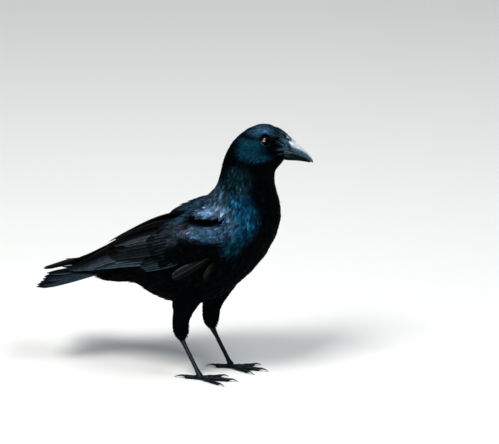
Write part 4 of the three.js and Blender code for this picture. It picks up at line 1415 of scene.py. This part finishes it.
# Each tuft: how many bristles a side, where they start (low and high corner), the way they point, length,
# width, tint and how straight each has to lie.
TUFTS = [
    (900, ((95, 3, 306), (106, 12, 317)), (1.0, 0.02, -0.40), 16, 0.5, (0.070, 0.155, 0.220), 0.93),
    (320, ((90, 11, 301.5), (101, 14, 307)), (1.0, -0.3, -0.12), 18, 0.45, (0.060, 0.150, 0.185), 0.85),
    (260, ((90, 0.3, 314), (99, 8, 321)), (1.0, 0.05, -0.42), 11, 0.5, (0.036, 0.080, 0.116), 0.95),
    (420, ((98, 0.2, 312), (106, 6, 318)), (1.0, 0.0, -0.52), 8.5, 0.5, (0.034, 0.074, 0.106), 0.96),
    (420, ((85, 4, 289), (95, 10, 297)), (1.0, -0.2, 0.0), 9, 0.5, (0.0005, 0.0020, 0.0026), 0.85),
]
HORN_BARE_FROM = float(metres([99, 0, 0])[0])


def out_of_horn(point, clear):
    """A point pushed out of skin and horn until it is clear of both, and the nearer one's normal."""
    facing, closest = Vector((1, 0, 0)), 1.0
    for surface in (skin_tree, *horn_trees) if point.x > HORN_BARE_FROM else (skin_tree,):
        wanted = clear + (COAT_OVER_SKIN * MM if surface is skin_tree else 0)
        hit, normal, _, _ = surface.find_nearest(point)
        gap = (point - hit).dot(normal)
        if gap < wanted:
            point = point + normal * (wanted - gap)
        if gap < closest:
            facing, closest = normal, gap
    if closest > 2 * clear:
        point = point - facing * min(closest - clear, 0.3 * MM)
    return point, facing


nets, facings, tints = [], [], []
for count, (low, high), heading, size, width, shade, straight in TUFTS:
    for k in range(count * 2):
        side = 1 if k % 2 else -1
        point = Vector(metres(rng.uniform(low, high) * [1, side, 1]))
        wanted = Vector(unit(np.array(heading) * [1, side, 1] + rng.normal(0, 0.05, 3)))
        ahead = wanted
        step = size * rng.uniform(0.7, 1.1) * MM / (NET_ROWS - 1)
        clear = rng.uniform(0.2, 0.9) * MM
        hit, outwards, _, _ = skin_tree.find_nearest(point)
        point, normal = out_of_horn(hit + outwards * clear, clear)
        net, facing = np.zeros((NET_ROWS, 3, 3)), np.zeros((NET_ROWS, 3))
        for row in range(NET_ROWS):
            ahead = (wanted * 0.6 + (ahead - normal * ahead.dot(normal)) * 0.4).normalized()
            across = normal.cross(ahead).normalized() * (width * MM / 2)
            net[row] = [point - across, point, point + across]
            facing[row] = normal
            point, normal = out_of_horn(point + ahead * step, clear)
        # Kinks are combed out, and what still lies across is left out.
        for _ in range(3):
            net[1:-1] = net[1:-1] / 2 + (net[:-2] + net[2:]) / 4
        reach = net[-1, 1] - net[0, 1]
        bends = unit(np.diff(net[:, 1], axis=0))
        if reach @ np.array(wanted) < 4 * step * straight or (bends[1:] * bends[:-1]).sum(1).min() < 0.8:
            continue
        nets.append(net)
        facings.append(facing)
        start = net[0, 1] / MM
        clump = 0.85 * math.sin(2.3 * (start[2] + 0.4 * start[0])) - 0.3
        tints.append([*(np.array(shade) * math.exp(clump + rng.normal(0, 0.5))), 0.42])
nets, facings = np.array(nets), np.array(facings)
bristle = feather_shape(5, 3, 0.15, 0.0, 0.8)
none = np.zeros(len(nets))
points, quads, local = sheets(nets, facings, bristle, np.zeros((len(nets), 2)), none + 0.12 * MM, none)
tints = np.repeat(tints, len(bristle[0]), 0)
# Each bristle darkens towards its root: painted shade near the skin.
tints[:, :3] *= 0.1 + 0.9 * ease(0.1, 0.9, local[:, 1])
bake = patches_at(skin_uv_near(nets[:, 0, 1] / MM - SHIFT), local)
coat.append(mesh_of("nasal_bristles", points, quads, bristle_look, tints, local, bake))
print("bristles:", len(nets))

# %% [markdown]
# ## Eyes
# The eye is a wet dark ball set in a ring of bare, finely wrinkled skin: two lids that meet fore and
# aft. The ball is a sphere, and the lids are a thin ring bent over it.

# %% Eyeballs and lids
LID_AROUND = 40
# Each ring of the lids: its radius, and how far it lies over the ball.
LID_PROFILE = [(6.7, -0.8), (6.2, 0.5), (5.8, 0.7), (5.4, 0.75), (5.1, 0.7), (4.9, 0.45), (4.95, -0.2)]
LID_OPEN = (0.94, 0.86)  # how high the opening's lower and upper half are against its width
LID_DROP = 0.4


def eye_ball(name, side):
    """A sphere set where the eye lies."""
    bpy.ops.object.select_all(action="DESELECT")
    bpy.ops.mesh.primitive_uv_sphere_add(segments=48, ring_count=32, radius=EYE_RADIUS * MM)
    ball = bpy.context.object
    ball.name = ball.data.name = name
    points = read(ball.data.vertices, "co", 3) / MM
    ball.data.vertices.foreach_set("co", metres(points + EYE * [1, side, 1]).ravel())
    ball.data.update()
    bpy.ops.object.shade_smooth()
    ball.data.materials.append(eye_look)
    return ball


def lid_ring(name, side):
    """Rings round the eye's opening, each a little oval, from the skin in to the wet edge."""
    turn = 2 * np.pi * np.arange(LID_AROUND) / LID_AROUND
    look = unit(np.array([0.16, side, 0.02]))
    across = unit(np.cross([0, 0, 1], look))
    up = np.cross(look, across)
    rings = []
    for radius, out in LID_PROFILE:
        narrow = 1 - np.where(np.sin(turn) > 0, LID_OPEN[1], LID_OPEN[0])
        oval = 1 - np.interp(radius, [5.1, 6.5], [1, 0.15]) * narrow * np.abs(np.sin(turn)) ** 1.5
        crease = 0.1 * np.sin(turn * 18) * (radius > 5.2) * (radius < 6.5)
        fore, high = np.cos(turn) * radius, np.sin(turn) * radius * oval - LID_DROP
        ball = np.sqrt(np.maximum(EYE_RADIUS**2 - fore**2 - high**2, 0))
        ring = np.outer(fore, across) + np.outer(high, up) + np.outer(ball + out + crease, look)
        rings.append(ring + EYE * [1, side, 1])
    place = np.arange(LID_AROUND)
    after = np.roll(place, -1)
    loop = np.stack([place, after, after + LID_AROUND, place + LID_AROUND], 1)
    quads = copies_of(loop, len(rings) - 1, LID_AROUND)
    made = bpy.data.meshes.new(name)
    made.from_pydata(metres(np.concatenate(rings)).tolist(), [], quads.tolist())
    piece = bpy.data.objects.new(name, made)
    bpy.context.scene.collection.objects.link(piece)
    return smooth_shell(piece, 1, lid_look)


for side_name, sign in (("right", -1), ("left", 1)):
    ball = eye_ball(f"eyeball_{side_name}", sign)
    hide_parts(f"eye_{side_name}")
    lids = lid_ring(f"lids_{side_name}", sign)
    for piece in (ball, lids):
        hard_parts.append(piece)
        print(piece.name, "faces", len(piece.data.polygons))

# %% [markdown]
# ## Legs
# Below the feathered thigh a crow's leg is bare and scaled, glossy black, with a row of broad plates
# down its front. Four toes lie on the ground with swollen pads under each joint, and end in curved claws.

# %% Measures of the legs
LEGS = {
    "right": {"side": -1, "heel": [-18.4, 24, 52.5], "foot": [4.5, 23, 3.9]},
    "left": {"side": 1, "heel": [10.9, 22, 50.5], "foot": [34, 21.5, 3.9]},
}
TOES = {
    "middle": {"turn": 2, "length": 37, "radius": 2.9, "claw": 12.5, "joints": 3},
    "inner": {"turn": 27, "length": 27, "radius": 2.7, "claw": 11.5, "joints": 2},
    "outer": {"turn": -27, "length": 30, "radius": 2.5, "claw": 10.5, "joints": 3},
    "hind": {"turn": 178, "length": 20, "radius": 3.0, "claw": 15, "joints": 1},
}
SOLE_SINK = 0.35
HEEL_RADIUS, SHAFT_RADIUS, FOOT_RADIUS = 3.9, 2.7, 4.3
SHANK_PLATE = 4.2  # how far apart the creases of the shank's plates lie
TOE_PLATE = 2.6
print("toes, mm:", {name: toe["length"] for name, toe in TOES.items()})

# %% Rings along a path
def rings_along(path, radius_at, sides, wide):
    """Rings round a path of points, pressed flat where they would go through the floor."""
    path = np.asarray(path, float)
    turn = 2 * np.pi * np.arange(sides) / sides
    rings = []
    for k, tangent in enumerate(unit(np.gradient(path, axis=0))):
        side = unit(np.cross([0, 0, 1], tangent) + [0, 1e-6, 0])
        up = np.cross(tangent, side)
        radius = radius_at(k / (len(path) - 1), turn)
        ring = path[k] + np.outer(np.cos(turn) * radius * wide, side) + np.outer(np.sin(turn) * radius, up)
        ring[:, 2] = np.maximum(ring[:, 2], 0)
        rings.append(ring)
    return rings


# %% Plates and their wear
def plate_tones(count_along, share):
    """Each plate has its own paleness and a dark crease at its end. share is where there are plates."""
    number = np.floor(count_along)
    tone = 2.0 + 1.2 * np.sin(number * 2.7) + 0.6 * np.sin(number * 5.1)
    crease = np.abs((count_along % 1) - 0.5) * 2
    tone = tone * (1 - 0.8 * ease(0.6, 0.9, crease)[:, 0])
    return 1 + (tone - 1) * share[:, 0]


def mark_scales(piece, gloss):
    """How many times paler than the bare scale each point is."""
    paint(piece.data, np.insert(np.tile(gloss[:, None], 3), 3, 1, axis=1))


# %% Shanks
def shank_piece(name, leg):
    """The bare shank from heel to foot, with plates down its front."""
    heel, foot = (np.array(leg[k]) * [1, leg["side"], 1] for k in ("heel", "foot"))
    ahead = unit(foot - heel)
    path = [heel - ahead * 4 + (foot - heel + ahead * 4) * t for t in np.linspace(0, 1, 34)]

    def radius_at(t, turn):
        heel_part = 1 - np.clip((t - 0.06) / 0.2, 0, 1)
        foot_part = np.clip((t - 0.8) / 0.17, 0, 1) ** 1.5
        base = SHAFT_RADIUS + (HEEL_RADIUS - SHAFT_RADIUS) * heel_part**1.5
        base += (FOOT_RADIUS - SHAFT_RADIUS) * foot_part
        plates = 0.16 * np.abs(((t * 13) % 1) - 0.15) * (np.sin(turn) > -0.2)
        return base * (1 if t > 0.02 else 0.6) + plates - 0.1

    piece = tube_of(name, rings_along(path, radius_at, 20, 0.82), leg_look, 1)
    # A narrow pale line down the shank's outer side is a painted highlight.
    points = points_of(piece) - heel
    down = points @ ahead
    off_axis = unit(points - np.outer(down, ahead))
    outwards = np.array([0.42, leg["side"], 0.1])
    outwards = unit(outwards - ahead * (outwards @ ahead))
    front = off_axis @ unit(np.cross([0, 1, 0], ahead))
    plates = plate_tones(down / SHANK_PLATE, ease(-0.2, 0.5, front))
    mark_scales(piece, plates * (1 + 9 * ease(0.92, 0.99, off_axis @ outwards)[:, 0]))
    return piece


# %% Toes and claws
def toe_place(leg, toe, far, z):
    """A place at a height z, far out along a toe."""
    heading = -leg["side"] * math.radians(toe["turn"])
    x, y = leg["foot"][0] + far * math.cos(heading), leg["side"] * leg["foot"][1] + far * math.sin(heading)
    return np.array([x, y, z])


def toe_piece(name, leg, toe):
    """One toe: swollen under its joints, plated above and flat on the floor."""
    low = toe["radius"] - SOLE_SINK
    shares = np.linspace(0, 1, 26)
    heights = [toe["radius"] + 0.6, toe["radius"] + 0.2, low, low * 0.92]
    height = np.interp(shares, [0, 0.25, 0.6, 1], heights)
    path = [toe_place(leg, toe, (toe["length"] + 2) * s - 2, h) for s, h in zip(shares, height)]

    def radius_at(t, turn):
        knuckle = 1 + 0.10 * math.cos(2 * math.pi * toe["joints"] * t)
        plates = 0.14 * abs(((t * toe["length"] / TOE_PLATE) % 1) - 0.2) * (np.sin(turn) > 0.1)
        end = math.sqrt(max(0.12, 1 - max(0, t - 0.94) / 0.07))
        return toe["radius"] * (1 - 0.2 * t) * knuckle * end + plates

    piece = tube_of(name, rings_along(path, radius_at, 16, 1.05), leg_look, 1)
    points = points_of(piece)
    far = np.linalg.norm((points - toe_place(leg, toe, 0, 0))[:, :2], axis=1)
    mark_scales(piece, plate_tones(far / TOE_PLATE, ease(-0.3, 0.6, points[:, 2] / toe["radius"] - 1)))
    return piece


def claw_piece(name, leg, toe):
    """A curved claw that tapers from the toe's end to the floor."""
    low = toe["radius"] - SOLE_SINK
    base = toe["length"] - 1.6
    shares = np.linspace(0, 1, 14)
    height = np.interp(shares, [0, 0.35, 0.7, 1], [low * 1.05, low * 1.4, low * 0.98, 0.45])
    path = [toe_place(leg, toe, base + toe["claw"] * s, h) for s, h in zip(shares, height)]

    def radius_at(t, turn):
        return (toe["radius"] * 0.74 * (1 - t**0.8) + 0.28 * t**0.8) * np.where(np.sin(turn) < -0.4, 0.85, 1)

    return tube_of(name, rings_along(path, radius_at, 12, 0.72), claw_look, 1)


# %% Both legs
for side_name, leg in LEGS.items():
    piece = shank_piece(f"shank_{side_name}_scutes", leg)
    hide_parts(f"shank_{side_name}")
    hard_parts.append(piece)
    for toe_name, toe in TOES.items():
        piece = toe_piece(f"toe_{side_name}_{toe_name}_scales", leg, toe)
        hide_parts(f"toe_{side_name}_{toe_name}")
        hard_parts.append(piece)
        piece = claw_piece(f"claw_{side_name}_{toe_name}_horn", leg, toe)
        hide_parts(f"claw_{side_name}_{toe_name}")
        hard_parts.append(piece)
print("hard parts:", len(hard_parts), "coat pieces:", len(coat), "flight pieces:", len(flight))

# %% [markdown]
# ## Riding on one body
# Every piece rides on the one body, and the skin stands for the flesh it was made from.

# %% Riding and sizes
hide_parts(*FLESH)
for piece in [skin, *coat, *flight, *hard_parts]:
    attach(piece, "root")
new_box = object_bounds()
grown = np.array([list(c) for c in new_box]) - np.array([list(c) for c in cad_box])
print("grown past the solids, mm:", (grown / MM).round(1).tolist())
